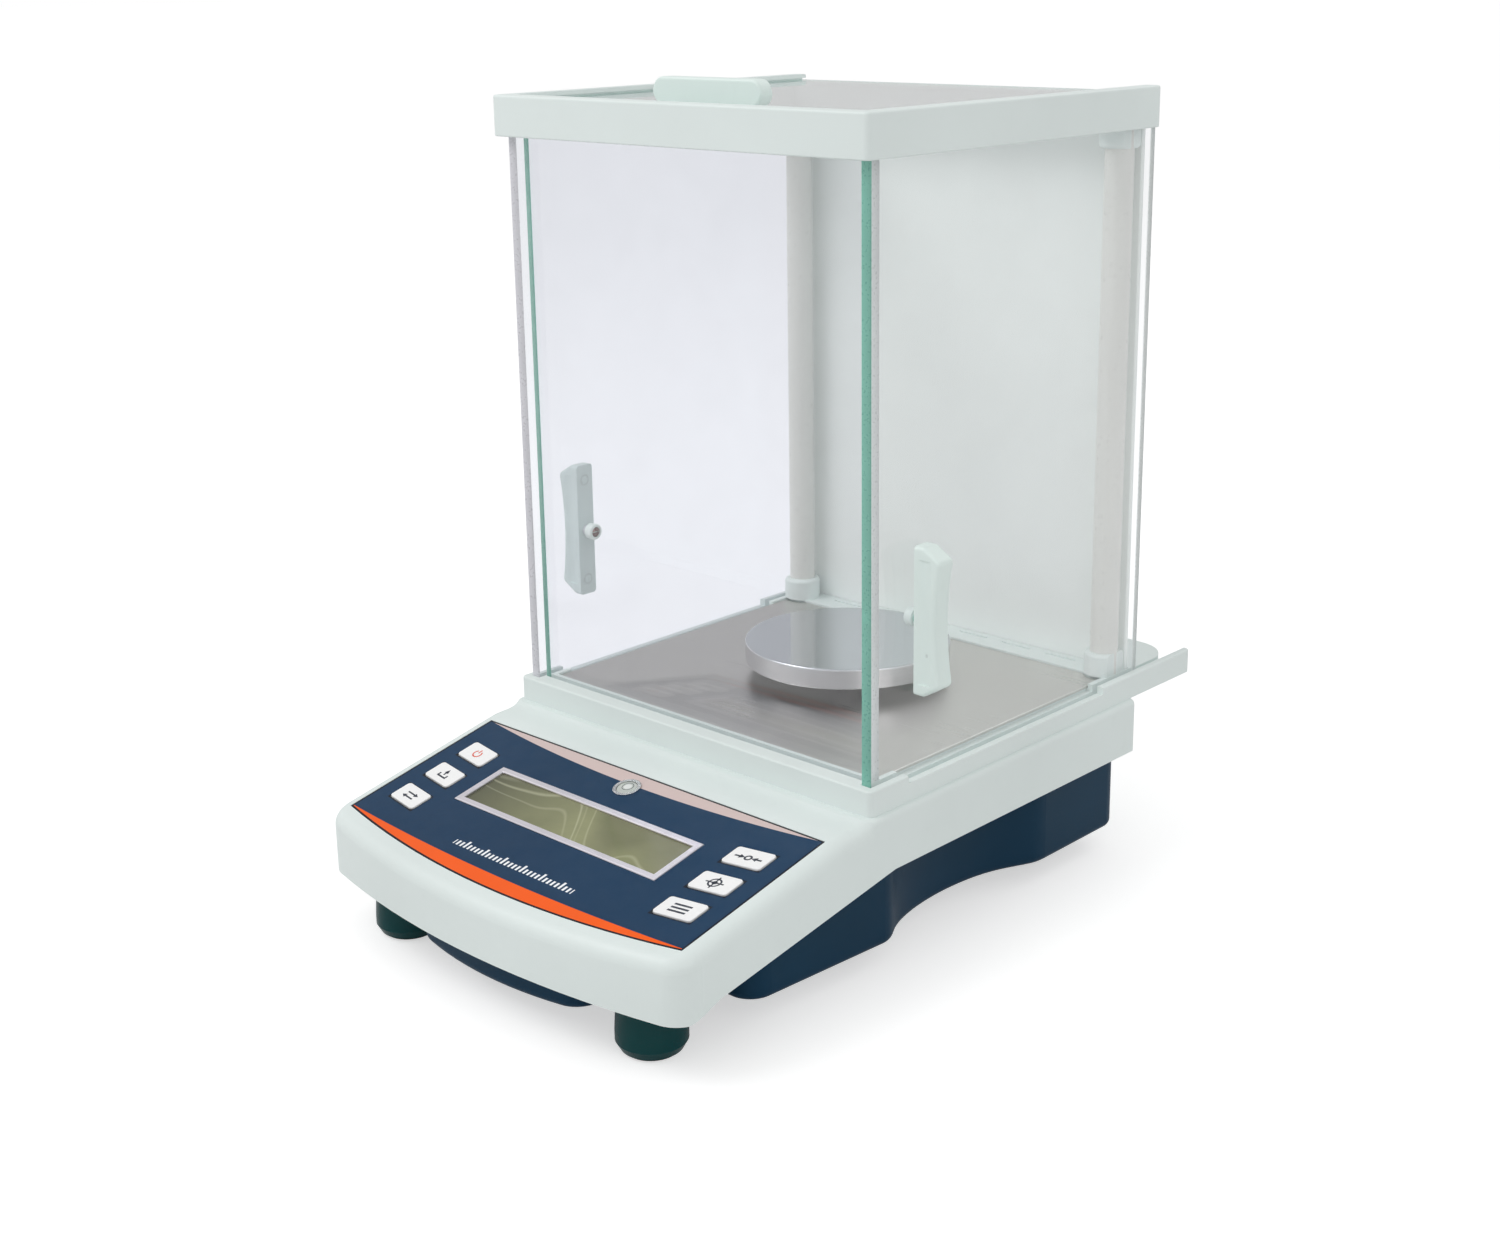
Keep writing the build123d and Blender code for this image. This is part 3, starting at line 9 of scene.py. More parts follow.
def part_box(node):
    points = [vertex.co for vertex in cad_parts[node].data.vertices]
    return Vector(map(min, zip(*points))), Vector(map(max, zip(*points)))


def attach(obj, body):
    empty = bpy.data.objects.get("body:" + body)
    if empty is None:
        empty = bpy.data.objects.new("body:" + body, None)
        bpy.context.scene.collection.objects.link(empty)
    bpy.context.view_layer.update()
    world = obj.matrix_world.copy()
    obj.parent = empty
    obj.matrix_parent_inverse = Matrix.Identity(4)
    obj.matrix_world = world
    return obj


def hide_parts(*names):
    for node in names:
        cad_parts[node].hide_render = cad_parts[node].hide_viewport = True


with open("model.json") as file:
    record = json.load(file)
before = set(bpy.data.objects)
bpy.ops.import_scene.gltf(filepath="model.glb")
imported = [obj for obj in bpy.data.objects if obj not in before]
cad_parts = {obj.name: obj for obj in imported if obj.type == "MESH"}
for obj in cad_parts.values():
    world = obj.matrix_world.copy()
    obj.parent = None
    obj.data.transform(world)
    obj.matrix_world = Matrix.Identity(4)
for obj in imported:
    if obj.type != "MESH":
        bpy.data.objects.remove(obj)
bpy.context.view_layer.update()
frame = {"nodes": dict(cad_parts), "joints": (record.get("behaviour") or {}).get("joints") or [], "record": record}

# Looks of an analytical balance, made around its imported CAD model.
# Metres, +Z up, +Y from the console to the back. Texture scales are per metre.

MM = 0.001

# ---------------------------------------------------------------- the console plane
KEY_AXIS = next(j["axis"] for j in frame["joints"] if j["name"] == "key_power_press")
SLOPE = math.atan2(KEY_AXIS[1], -KEY_AXIS[2])
UP_SLOPE = Vector((0, math.cos(SLOPE), math.sin(SLOPE)))
OFF_CONSOLE = Vector((0, -math.sin(SLOPE), math.cos(SLOPE)))
LABEL_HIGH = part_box("control_label")[1]
LABEL_HALF_W = LABEL_HIGH.x
LABEL_LENGTH = 79.4 * MM
LABEL_BOW = 10.8 * MM
LABEL_REAR = Vector((0, LABEL_HIGH.y, LABEL_HIGH.z))
LABEL_ORIGIN = LABEL_REAR - LABEL_LENGTH * UP_SLOPE
KEY_PROUD = 0.6 * MM  # key tops above the label
KEY_SLANT = 0.15  # rise of a key's outline per length across
KEY_NODES = [part["node"] for part in frame["record"]["subparts"] if part["node"].startswith("key_")]


def console_point(x, up, height=0.0):
    """The place of a point given by its x, its distance up the slope and its height above the label."""
    return LABEL_ORIGIN + Vector((x, 0, 0)) + up * UP_SLOPE + height * OFF_CONSOLE


def console_spot(node):
    """Where the middle of a CAD node lies on the console: its x and its distance up the slope."""
    low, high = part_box(node)
    middle = (low + high) / 2 - LABEL_ORIGIN
    return middle.x, middle.dot(UP_SLOPE)


# ---------------------------------------------------------------- node materials
class Shader:
    """A node material while it is made. Its methods return the socket that they make."""

    def __init__(self, name):
        self.material = bpy.data.materials.new(name)
        self.material.use_nodes = True
        self.nodes = self.material.node_tree.nodes
        self.links = self.material.node_tree.links
        self.nodes.clear()
        self.output = self.nodes.new("ShaderNodeOutputMaterial")
        self.coordinates = self.nodes.new("ShaderNodeTexCoord")
        self.place = self.coordinates.outputs["Object"]

    def node(self, kind, inputs, **settings):
        made = self.nodes.new(kind)
        for key, value in settings.items():
            setattr(made, key, value)
        for key, value in inputs.items():
            if isinstance(value, bpy.types.NodeSocket):
                self.links.new(value, made.inputs[key])
            else:
                made.inputs[key].default_value = value
        return made

    def stretched(self, scale):
        return self.node("ShaderNodeMapping", {"Vector": self.place, "Scale": scale}).outputs[0]

    def noise(self, scale, detail=3.0, vector=None, distortion=0.0):
        inputs = {"Vector": vector or self.place, "Scale": scale, "Detail": detail, "Distortion": distortion}
        return self.node("ShaderNodeTexNoise", inputs).outputs["Fac"]

    def noise_along(self, value, scale, detail=3.0):
        inputs = {"W": value, "Scale": scale, "Detail": detail}
        return self.node("ShaderNodeTexNoise", inputs, noise_dimensions="1D").outputs["Fac"]

    def maths(self, operation, a, b=0.0):
        return self.node("ShaderNodeMath", {0: a, 1: b}, operation=operation).outputs[0]

    def remap(self, value, low, high, to_low, to_high):
        inputs = {"Value": value, "From Min": low, "From Max": high, "To Min": to_low, "To Max": to_high}
        return self.node("ShaderNodeMapRange", inputs).outputs[0]

    def mix(self, share, a, b):
        made = self.node("ShaderNodeMix", {0: share, 6: a, 7: b}, data_type="RGBA")
        return made.outputs[2]

    def toned(self, colour, value):
        return self.node("ShaderNodeHueSaturation", {"Color": colour, "Value": value}).outputs[0]

    def dot(self, vector, direction):
        made = self.node("ShaderNodeVectorMath", {0: vector, 1: direction}, operation="DOT_PRODUCT")
        return made.outputs["Value"]

    def distance(self, centre, flatten):
        """Distance from centre, with the axes that flatten sets to 0 left out."""
        kind = "ShaderNodeVectorMath"
        shifted = self.node(kind, {0: self.place, 1: centre}, operation="SUBTRACT").outputs[0]
        flat = self.node(kind, {0: shifted, 1: flatten}, operation="MULTIPLY").outputs[0]
        return self.node(kind, {0: flat}, operation="LENGTH").outputs["Value"]

    def bump(self, height, strength, depth, normal=None):
        inputs = {"Height": height, "Strength": strength, "Distance": depth}
        if normal:
            inputs["Normal"] = normal
        return self.node("ShaderNodeBump", inputs).outputs[0]

    def edges(self, radius):
        """1 along sharp edges, 0 on open surfaces."""
        rounded = self.node("ShaderNodeBevel", {"Radius": radius}, samples=4).outputs[0]
        flat = self.nodes.new("ShaderNodeNewGeometry").outputs["Normal"]
        return self.remap(self.dot(rounded, flat), 0.995, 0.90, 0.0, 1.0)

    def principled(self, **inputs):
        named = {key.replace("_", " "): value for key, value in inputs.items()}
        return self.node("ShaderNodeBsdfPrincipled", named).outputs[0]

    def done(self, surface):
        self.links.new(surface, self.output.inputs["Surface"])
        return self.material


def rgb(red, green, blue):
    """A colour from its usual 0 to 255 display values."""
    parts = []
    for part in (red, green, blue):
        share = part / 255
        parts.append(share / 12.92 if share <= 0.04045 else ((share + 0.055) / 1.055) ** 2.4)
    return (*parts, 1.0)


def moulded_plastic(name, colour, roughness, grain=0.35, marks=()):
    """Spark-eroded moulded plastic: soft patches, a fine grain, sharp edges lighter as wear with a painted
    highlight, and optional round marks.

    A mark is its centre, the axes that count for its distance, and its inner and outer radius.
    """
    s = Shader(name)
    patches = s.noise(11, 4)
    grain_height = s.noise(1900, 2)
    scuffs = s.noise(160, 6, distortion=0.4)
    base = s.toned(colour, s.remap(patches, 0.3, 0.7, 0.965, 1.03))
    base = s.mix(s.remap(scuffs, 0.62, 0.80, 0.0, 0.10), base, s.toned(colour, 0.80))
    # sharp edges lighter: edge wear together with a painted highlight
    worn_and_highlit = tuple(min(1.0, part * 1.12 + 0.01) for part in colour[:3]) + (1.0,)
    base = s.mix(s.maths("MULTIPLY", s.edges(0.7 * MM), 0.35), base, worn_and_highlit)
    normal = s.bump(grain_height, grain, 0.04 * MM)
    for centre, axes, inner, outer in marks:
        away = s.distance(centre, axes)
        past_inner = s.remap(away, inner - 0.1 * MM, inner + 0.1 * MM, 0.0, 1.0)
        spot = s.maths("MULTIPLY", past_inner, s.remap(away, outer - 0.1 * MM, outer + 0.1 * MM, 1.0, 0.0))
        base = s.mix(s.maths("MULTIPLY", spot, 0.45), base, s.toned(colour, 0.6))
        normal = s.bump(spot, 0.6, 0.2 * MM, normal)
    rough = s.remap(scuffs, 0.25, 0.75, roughness - 0.05, roughness + 0.07)
    return s.done(s.principled(Base_Color=base, Roughness=rough, Normal=normal))


def gloss_plastic(name, colour, roughness, specular):
    """Semi-gloss moulded plastic with faint flow marks, fine scratches and a painted highlight along sharp edges.
    """
    s = Shader(name)
    flow = s.noise(7, 5, distortion=1.2)
    hairlines = s.noise(1, 5, s.stretched((90, 90, 2400)))
    base = s.toned(colour, s.remap(flow, 0.3, 0.7, 0.90, 1.12))
    lighter = tuple(min(1.0, part * 1.5 + 0.006) for part in colour[:3]) + (1.0,)
    # sharp edges lighter: painted highlight; the lighter hairline scratches below are real
    base = s.mix(s.maths("MULTIPLY", s.edges(0.8 * MM), 0.5), base, lighter)
    base = s.mix(s.remap(hairlines, 0.66, 0.82, 0.0, 0.25), base, lighter)
    normal = s.bump(s.noise(650, 3), 0.10, 0.05 * MM)
    rough = s.remap(flow, 0.25, 0.75, roughness - 0.04, roughness + 0.08)
    return s.done(s.principled(Base_Color=base, Roughness=rough, Normal=normal, Specular_IOR_Level=specular))


def painted_metal(name, colour, roughness=0.34):
    """Powder-coated metal: orange-peel surface with a soft sheen and a painted highlight along sharp edges."""
    s = Shader(name)
    peel = s.noise(420, 3)
    clouds = s.noise(9, 3)
    base = s.toned(colour, s.remap(clouds, 0.3, 0.7, 0.97, 1.03))
    # sharp edges lighter: painted highlight
    base = s.mix(s.maths("MULTIPLY", s.edges(0.5 * MM), 0.25), base, s.toned(colour, 1.15))
    normal = s.bump(peel, 0.16, 0.08 * MM)
    rough = s.remap(peel, 0.3, 0.7, roughness - 0.04, roughness + 0.06)
    return s.done(s.principled(Base_Color=base, Roughness=rough, Normal=normal))


def brushed_metal(name, colour, roughness, grain_scale, contrast=0.07, cloud=0.05):
    """Metal with fine drawn lines and a painted highlight along sharp edges; grain_scale is small along the lines.
    """
    s = Shader(name)
    lines = s.noise(1, 5, s.stretched(grain_scale))
    clouds = s.noise(16, 4, distortion=0.6)
    base = s.toned(colour, s.remap(lines, 0.25, 0.75, 1 - contrast, 1 + contrast))
    base = s.toned(base, s.remap(clouds, 0.3, 0.7, 1 - cloud, 1 + cloud))
    # sharp edges lighter: painted highlight
    base = s.mix(s.maths("MULTIPLY", s.edges(0.4 * MM), 0.4), base, s.toned(colour, 1.3))
    rough = s.remap(s.maths("ADD", lines, clouds), 0.7, 1.3, roughness - 0.06, roughness + 0.08)
    normal = s.bump(lines, 0.10, 0.03 * MM)
    return s.done(s.principled(Base_Color=base, Metallic=1.0, Roughness=rough, Normal=normal))


def turned_steel(name, node):
    """Polished pan with turning rings on its top and a brushed band round its side."""
    low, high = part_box(node)
    centre = (low + high) / 2
    s = Shader(name)
    away = s.distance(centre, (1.0, 1.0, 0.0))
    rings = s.noise_along(away, 5200, 3)
    height_lines = s.noise(1, 4, s.stretched((60, 60, 5200)))
    upward = s.dot(s.coordinates.outputs["Normal"], (0.0, 0.0, 1.0))
    top = s.remap(upward, 0.6, 0.9, 0.0, 1.0)
    clouds = s.noise(30, 4)
    lines = s.mix(top, height_lines, rings)
    base = s.mix(top, rgb(226, 226, 228), rgb(208, 212, 216))
    base = s.toned(base, s.remap(lines, 0.25, 0.75, 0.93, 1.06))
    rough = s.maths("ADD", s.remap(top, 0.0, 1.0, 0.24, 0.07), s.remap(clouds, 0.3, 0.7, -0.02, 0.03))
    normal = s.bump(lines, 0.05, 0.02 * MM)
    return s.done(s.principled(Base_Color=base, Metallic=1.0, Roughness=rough, Normal=normal))


def float_glass(node, across, along, end_tints, tint):
    """A clear pane, thin in the direction across, with one edge tint at each end in the direction along; its edges
    get painted shade, lighter at one face and darker at the other.
    """
    low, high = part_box(node)
    across, along = Vector(across), Vector(along)
    s = Shader(node + "_clear")
    facing = s.maths("ABSOLUTE", s.dot(s.coordinates.outputs["Normal"], across))
    on_face = s.remap(facing, 0.80, 0.95, 0.0, 1.0)
    ground = s.noise(900, 4)
    high_end = s.maths("GREATER_THAN", s.dot(s.place, along), ((low + high) / 2).dot(along))
    # painted shade on the edges: lighter at one face of the pane, darker at the other
    shade = s.remap(s.dot(s.place, across), low.dot(across), high.dot(across), 1.12, 0.88)
    shade_and_unevenness = s.maths("MULTIPLY", shade, s.remap(s.noise(40), 0.3, 0.7, 0.96, 1.04))
    ends = s.toned(s.mix(high_end, *end_tints), shade_and_unevenness)
    edge = s.principled(
        Base_Color=ends, Roughness=s.remap(ground, 0.3, 0.7, 0.25, 0.35), Transmission_Weight=0.15,
        Normal=s.bump(ground, 0.05, 0.02 * MM),
    )
    smears = s.noise(26, 6, distortion=1.5)
    pane = s.principled(
        Base_Color=s.mix(s.remap(smears, 0.4, 0.7, 0.0, 1.0), tint, s.toned(tint, 0.985)),
        Roughness=s.remap(smears, 0.55, 0.8, 0.0, 0.03), Transmission_Weight=1.0, IOR=1.45,
        Normal=s.bump(s.noise(5, 1), 0.02, 0.2 * MM),
    )
    solid = s.node("ShaderNodeMixShader", {0: on_face, 1: edge, 2: pane}).outputs[0]
    clear = s.node("ShaderNodeBsdfTransparent", {"Color": rgb(255, 255, 255)}).outputs[0]
    rays = s.nodes.new("ShaderNodeLightPath").outputs
    lamps = s.maths("MAXIMUM", rays["Is Shadow Ray"], rays["Is Diffuse Ray"])
    return s.done(s.node("ShaderNodeMixShader", {0: lamps, 1: solid, 2: clear}).outputs[0])


def rubber(name):
    """Black rubber with open pores."""
    s = Shader(name)
    pores = s.noise(1500, 4)
    base = s.toned(rgb(38, 39, 40), s.remap(s.noise(60, 4), 0.3, 0.7, 0.7, 1.4))
    normal = s.bump(pores, 0.4, 0.08 * MM)
    rough = s.remap(pores, 0.3, 0.7, 0.65, 0.85)
    return s.done(s.principled(Base_Color=base, Roughness=rough, Normal=normal))


def circuit_board(name):
    """Solder mask over a grid of tracks."""
    s = Shader(name)
    black, white = (0, 0, 0, 1), (1, 1, 1, 1)
    grid = {
        "Vector": s.place, "Scale": 160, "Mortar Size": 0.02,
        "Color1": black, "Color2": black, "Mortar": white,
    }
    tracks = s.node("ShaderNodeTexBrick", grid).outputs["Color"]
    base = s.mix(tracks, rgb(16, 92, 48), rgb(38, 130, 72))
    rough = s.remap(s.noise(300), 0.3, 0.7, 0.3, 0.45)
    return s.done(s.principled(Base_Color=base, Roughness=rough, Normal=s.bump(tracks, 0.3, 0.05 * MM)))


WIRE_TURNS = 21000.0  # radians per metre of height


def wound_wire(name):
    """Enamelled copper turns, one above the other, with painted shade between the turns and a painted highlight on
    each.
    """
    s = Shader(name)
    turns = s.maths("SINE", s.maths("MULTIPLY", s.dot(s.place, (0.0, 0.0, 1.0)), WIRE_TURNS))
    # painted shade between the turns and a painted highlight on their crowns
    base = s.mix(s.remap(turns, -1, 1, 0, 1), rgb(120, 58, 30), rgb(205, 120, 70))
    normal = s.bump(turns, 0.6, 0.1 * MM)
    return s.done(s.principled(Base_Color=base, Metallic=0.8, Roughness=0.35, Normal=normal))


# ---------------------------------------------------------------- printed console
# heights up the slope, in the middle and at the sides
STRIP_ARC = (71.6 * MM, 79.0 * MM)
BAND_ARC = (-3.3 * MM, 0.9 * MM)
FRONT_ARC = (-LABEL_BOW, 0.0)
OUTLINE_W = 0.8 * MM
SOFT = 0.12 * MM  # width over which one ink fades into the next
# half sizes of the painted shade in the gap round a key: fully dark, and faded out
KEY_GAP_X = (9.6 * MM, 9.9 * MM)
KEY_GAP_UP = (6.2 * MM, 6.5 * MM)
TICK_PITCH = 2.3 * MM
TICK_PITCHES = 15.5  # the row reaches this many pitches to each side
TICK_LOW_UP, TICK_SHORT_UP, TICK_EXTRA = 3.4 * MM, 6.3 * MM, 1.5 * MM


def above_arc(s, x, up, arc):
    """Height of a point above a shallow arc, given by its heights in the middle and at the label's sides."""
    middle_up, side_up = arc
    curve = (side_up - middle_up) / LABEL_HALF_W**2
    sagged = s.maths("MULTIPLY", s.maths("MULTIPLY", x, x), curve)
    return s.maths("SUBTRACT", s.maths("SUBTRACT", up, middle_up), sagged)


def printed_label(name):
    """Navy film with an orange band in front, a pale strip behind and a row of graduations."""
    s = Shader(name)
    x = s.dot(s.place, (1.0, 0.0, 0.0))
    up = s.maths("SUBTRACT", s.dot(s.place, UP_SLOPE), LABEL_ORIGIN.dot(UP_SLOPE))
    weave = s.noise(700, 3)
    navy = s.toned(rgb(18, 56, 88), s.remap(s.noise(10, 4), 0.3, 0.7, 0.94, 1.07))
    base = s.mix(s.remap(weave, 0.35, 0.7, 0.0, 0.12), navy, rgb(34, 70, 104))

    strip = s.remap(above_arc(s, x, up, STRIP_ARC), 0, SOFT, 0.0, 1.0)
    base = s.mix(strip, base, rgb(218, 198, 194))
    band = s.remap(above_arc(s, x, up, BAND_ARC), 0, SOFT, 1.0, 0.0)
    base = s.mix(band, base, s.toned(rgb(255, 98, 18), s.remap(s.noise(25, 3), 0.3, 0.7, 0.95, 1.05)))

    # thin dark outline of the film
    inner_w = OUTLINE_W - 0.1 * MM
    sides = s.remap(s.maths("ABSOLUTE", x), LABEL_HALF_W - OUTLINE_W, LABEL_HALF_W - inner_w, 0.0, 1.0)
    rear = s.remap(up, LABEL_LENGTH - OUTLINE_W, LABEL_LENGTH - inner_w, 0.0, 1.0)
    front = s.remap(above_arc(s, x, up, FRONT_ARC), inner_w, OUTLINE_W, 1.0, 0.0)
    outline = s.maths("MAXIMUM", s.maths("MAXIMUM", sides, rear), front)
    base = s.mix(outline, base, rgb(14, 18, 30))

    # painted shade in the thin gaps round the keys
    for key in KEY_NODES:
        key_x, key_up = console_spot(key)
        slant = math.copysign(KEY_SLANT, key_x)
        right = s.maths("SUBTRACT", x, key_x)
        above = s.maths("SUBTRACT", s.maths("SUBTRACT", up, key_up), s.maths("MULTIPLY", right, slant))
        near_x = s.remap(s.maths("ABSOLUTE", right), *KEY_GAP_X, 1.0, 0.0)
        near_up = s.remap(s.maths("ABSOLUTE", above), *KEY_GAP_UP, 1.0, 0.0)
        base = s.mix(s.maths("MULTIPLY", near_x, near_up), base, rgb(12, 18, 30))

    # generic graduations: a tick each pitch, and a longer one each fifth
    steps = s.maths("DIVIDE", x, TICK_PITCH)
    from_tick = s.maths("ABSOLUTE", s.maths("SUBTRACT", s.maths("FRACT", steps), 0.5))
    fifths = s.maths("DIVIDE", steps, 5.0)
    from_long = s.maths("ABSOLUTE", s.maths("SUBTRACT", s.maths("FRACT", fifths), 0.5))
    near_tick = s.remap(from_tick, 0.24, 0.27, 1.0, 0.0)
    near_long = s.remap(from_long, 0.10, 0.101, 1.0, 0.0)
    tick_top = s.maths("ADD", s.maths("MULTIPLY", near_long, TICK_EXTRA), TICK_SHORT_UP)
    over_foot = s.remap(up, TICK_LOW_UP, TICK_LOW_UP + 0.1 * MM, 0.0, 1.0)
    within = s.maths("MULTIPLY", over_foot, s.maths("LESS_THAN", up, tick_top))
    in_row = s.maths("LESS_THAN", s.maths("ABSOLUTE", x), TICK_PITCHES * TICK_PITCH)
    within = s.maths("MULTIPLY", within, in_row)
    base = s.mix(s.maths("MULTIPLY", near_tick, within), base, rgb(250, 252, 255))

    normal = s.bump(weave, 0.14, 0.03 * MM)
    rough = s.remap(s.noise(90, 5), 0.3, 0.7, 0.36, 0.48)
    return s.done(s.principled(Base_Color=base, Roughness=rough, Normal=normal, Specular_IOR_Level=0.20))


# painted reflections on the display: light streaks that drift along the slope
REFLECTION_DRIFT = 6.0  # how strongly the wisps keep to one direction
# level of the flow, share of the light colour
REFLECTION_STREAKS = ((-0.10, 0.25), (-0.02, 0.45), (0.015, 0.20), (0.09, 0.35))


def display_glass(name, node):
    """An unlit olive display behind glass: long soft wisps of painted reflection, over painted shade that is
    darker at its left end and past the wisps.
    """
    low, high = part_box(node)
    s = Shader(name)
    drift = s.maths("ADD", s.dot(s.place, UP_SLOPE), s.dot(s.place, (0.30, 0.0, 0.0)))
    flow = s.maths("ADD", s.noise(13, 1.0, distortion=0.5), s.maths("MULTIPLY", drift, REFLECTION_DRIFT))
    # painted shade: darker towards the left end
    base = s.mix(
        s.remap(s.dot(s.place, (1.0, 0.0, 0.0)), low.x, low.x + 0.5 * (high.x - low.x), 0.0, 1.0),
        rgb(84, 86, 60), rgb(142, 144, 104))
    base = s.toned(base, s.remap(s.noise(22, 4, distortion=0.8), 0.3, 0.7, 0.86, 1.16))
    middle = s.maths("SUBTRACT", flow, REFLECTION_DRIFT * ((low + high) / 2).dot(UP_SLOPE) + 0.5)
    # painted reflections as light streaks
    for level, share in REFLECTION_STREAKS:
        painted_reflection = s.remap(s.maths("ABSOLUTE", s.maths("SUBTRACT", middle, level)), 0.0, 0.010, share, 0.0)
        base = s.mix(painted_reflection, base, rgb(210, 210, 178))
    # painted shade past the streaks
    base = s.mix(s.remap(middle, 0.08, 0.20, 0.0, 0.5), base, rgb(92, 92, 68))
    return s.done(s.principled(
        Base_Color=base, Roughness=s.remap(flow, 0.3, 0.7, 0.10, 0.20), Specular_IOR_Level=0.3,
        Coat_Weight=0.4, Coat_Roughness=0.04, Normal=s.bump(flow, 0.05, 0.1 * MM),
    ))


BUBBLE_R, RING_INNER_R, RING_OUTER_R = 1.75 * MM, 2.3 * MM, 2.65 * MM
BLUR = 0.05 * MM  # half the width of a printed edge


def level_vial(name, node):
    """Liquid-filled vial seen from above: a bubble inside a printed centring ring."""
    low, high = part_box(node)
    middle = (low + high) / 2
    s = Shader(name)
    away = s.distance(middle, (1.0, 1.0, 0.0))
    past_inner = s.remap(away, RING_INNER_R - BLUR, RING_INNER_R + BLUR, 0.0, 1.0)
    ring = s.maths("MULTIPLY", past_inner, s.remap(away, RING_OUTER_R - BLUR, RING_OUTER_R + BLUR, 1.0, 0.0))
    inside = s.remap(away, BUBBLE_R - BLUR, BUBBLE_R + BLUR, 1.0, 0.0)
    liquid = s.mix(s.remap(s.noise(300), 0.3, 0.7, 0, 1), rgb(184, 190, 184), rgb(204, 208, 202))
    base = s.mix(inside, liquid, rgb(232, 234, 232))
    base = s.mix(ring, base, rgb(92, 98, 98))
    return s.done(s.principled(
        Base_Color=base, Roughness=s.remap(s.noise(500), 0.3, 0.7, 0.06, 0.12), Coat_Weight=1.0,
        Coat_Roughness=0.03, Normal=s.bump(inside, 0.5, 0.2 * MM),
    ))


WHITE = rgb(229, 238, 236)

BY_SLOT = {
    "white_plastic": moulded_plastic("white_moulded", WHITE, 0.42),
    "navy_plastic": gloss_plastic("navy_moulded", rgb(10, 52, 76), 0.34, 0.16),
    "foot_plastic": gloss_plastic("teal_moulded", rgb(0, 60, 62), 0.18, 0.20),
    "rubber": rubber("black_rubber"),
    "label_film": printed_label("printed_film"),
    "display_bezel": brushed_metal("satin_bezel", rgb(240, 236, 243), 0.36, (30, 1800, 1800), 0.05),
    "display_glass": display_glass("olive_display", "lcd_window"),
    "display_body": moulded_plastic("dark_housing", rgb(40, 40, 42), 0.5),
    "key_white": moulded_plastic("key_caps", rgb(252, 252, 252), 0.38, grain=0.2),
    "chrome_trim": brushed_metal("polished_ring", rgb(214, 214, 214), 0.16, (400, 400, 400), 0.03),
    "level_glass": level_vial("vial_liquid", "level_vial"),
    "panel_white": painted_metal("panel_paint", rgb(245, 250, 248)),
    "column_white": painted_metal("column_paint", rgb(228, 229, 225), 0.30),
    "plate_steel": brushed_metal("satin_steel", rgb(214, 211, 207), 0.33, (10, 1500, 10), 0.008, 0.012),
    "pan_steel": turned_steel("turned_steel", "weighing_pan"),
    "zinc_steel": brushed_metal("zinc_plate", rgb(176, 180, 182), 0.36, (500, 500, 500), 0.10, 0.12),
    "cell_aluminium": brushed_metal("cast_aluminium", rgb(196, 198, 200), 0.42, (700, 700, 700), 0.08, 0.08),
    "brass": brushed_metal("machined_brass", rgb(206, 170, 92), 0.28, (90, 90, 2400), 0.08),
    "copper_coil": wound_wire("enamelled_wire"),
    "board_green": circuit_board("solder_mask"),
    "black_plastic": moulded_plastic("black_moulded", rgb(34, 35, 37), 0.45),
}


def handle_marks(node, rows, axes, inner, outer):
    """Round marks at these heights from the middle of a handle."""
    low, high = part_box(node)
    return [((low + high) / 2 + Vector((0, 0, row)), axes, inner, outer) for row in rows]


HANDLE_WHITE = rgb(230, 243, 239)
EJECTOR_ROWS = (-23.5 * MM, 0.0, 23.5 * MM)
EJECTOR_MARKS = handle_marks("left_door_handle", EJECTOR_ROWS, (0.0, 1.0, 1.0), 1.9 * MM, 2.6 * MM)
GATE_MARK = handle_marks("right_door_handle", (-13.0 * MM,), (1.0, 0.0, 1.0), 0.1 * MM, 0.7 * MM)
# The panes are one glass with green edges: the pale and lilac end tints and the face tints that differ from pane
# to pane, darkest on the left door and lightest on the right door, are painted light and shade.
EDGE_GREEN = rgb(134, 198, 181)
EDGE_PALE = rgb(226, 230, 230)
EDGE_LILAC = rgb(222, 222, 228)
SIDEWAYS, ENDWAYS, UPWARDS = (1, 0, 0), (0, 1, 0), (0, 0, 1)
# thin direction, direction between the two tinted ends, the tints of those ends, tint of the face
PANES = {
    "left_door_glass": (SIDEWAYS, ENDWAYS, (EDGE_LILAC, EDGE_PALE), rgb(235, 236, 240)),
    "right_door_glass": (SIDEWAYS, ENDWAYS, (EDGE_GREEN, EDGE_PALE), rgb(250, 251, 252)),
    "front_glass": (ENDWAYS, SIDEWAYS, (EDGE_GREEN, EDGE_PALE), rgb(245, 246, 249)),
    "top_door_glass": (UPWARDS, ENDWAYS, (EDGE_GREEN, EDGE_GREEN), rgb(246, 248, 250)),
}
BY_NODE = {node: float_glass(node, *look) for node, look in PANES.items()}
BY_NODE.update({
    "left_door_handle": moulded_plastic("handle_ejector_marks", HANDLE_WHITE, 0.38, marks=EJECTOR_MARKS),
    "right_door_handle": moulded_plastic("handle_gate_mark", HANDLE_WHITE, 0.38, marks=GATE_MARK),
    "top_door_handle": moulded_plastic("handle_plain", HANDLE_WHITE, 0.38),
})

for part in frame["record"]["subparts"]:
    target = frame["nodes"][part["node"]]
    finish = BY_NODE.get(part["node"]) or BY_SLOT[part["material_slot"]]
    if target.data.materials:
        target.data.materials[0] = finish
    else:
        target.data.materials.append(finish)


# ---------------------------------------------------------------- key symbols
INK_LOW = KEY_PROUD - 0.03 * MM
INK_HIGH = KEY_PROUD + 0.05 * MM


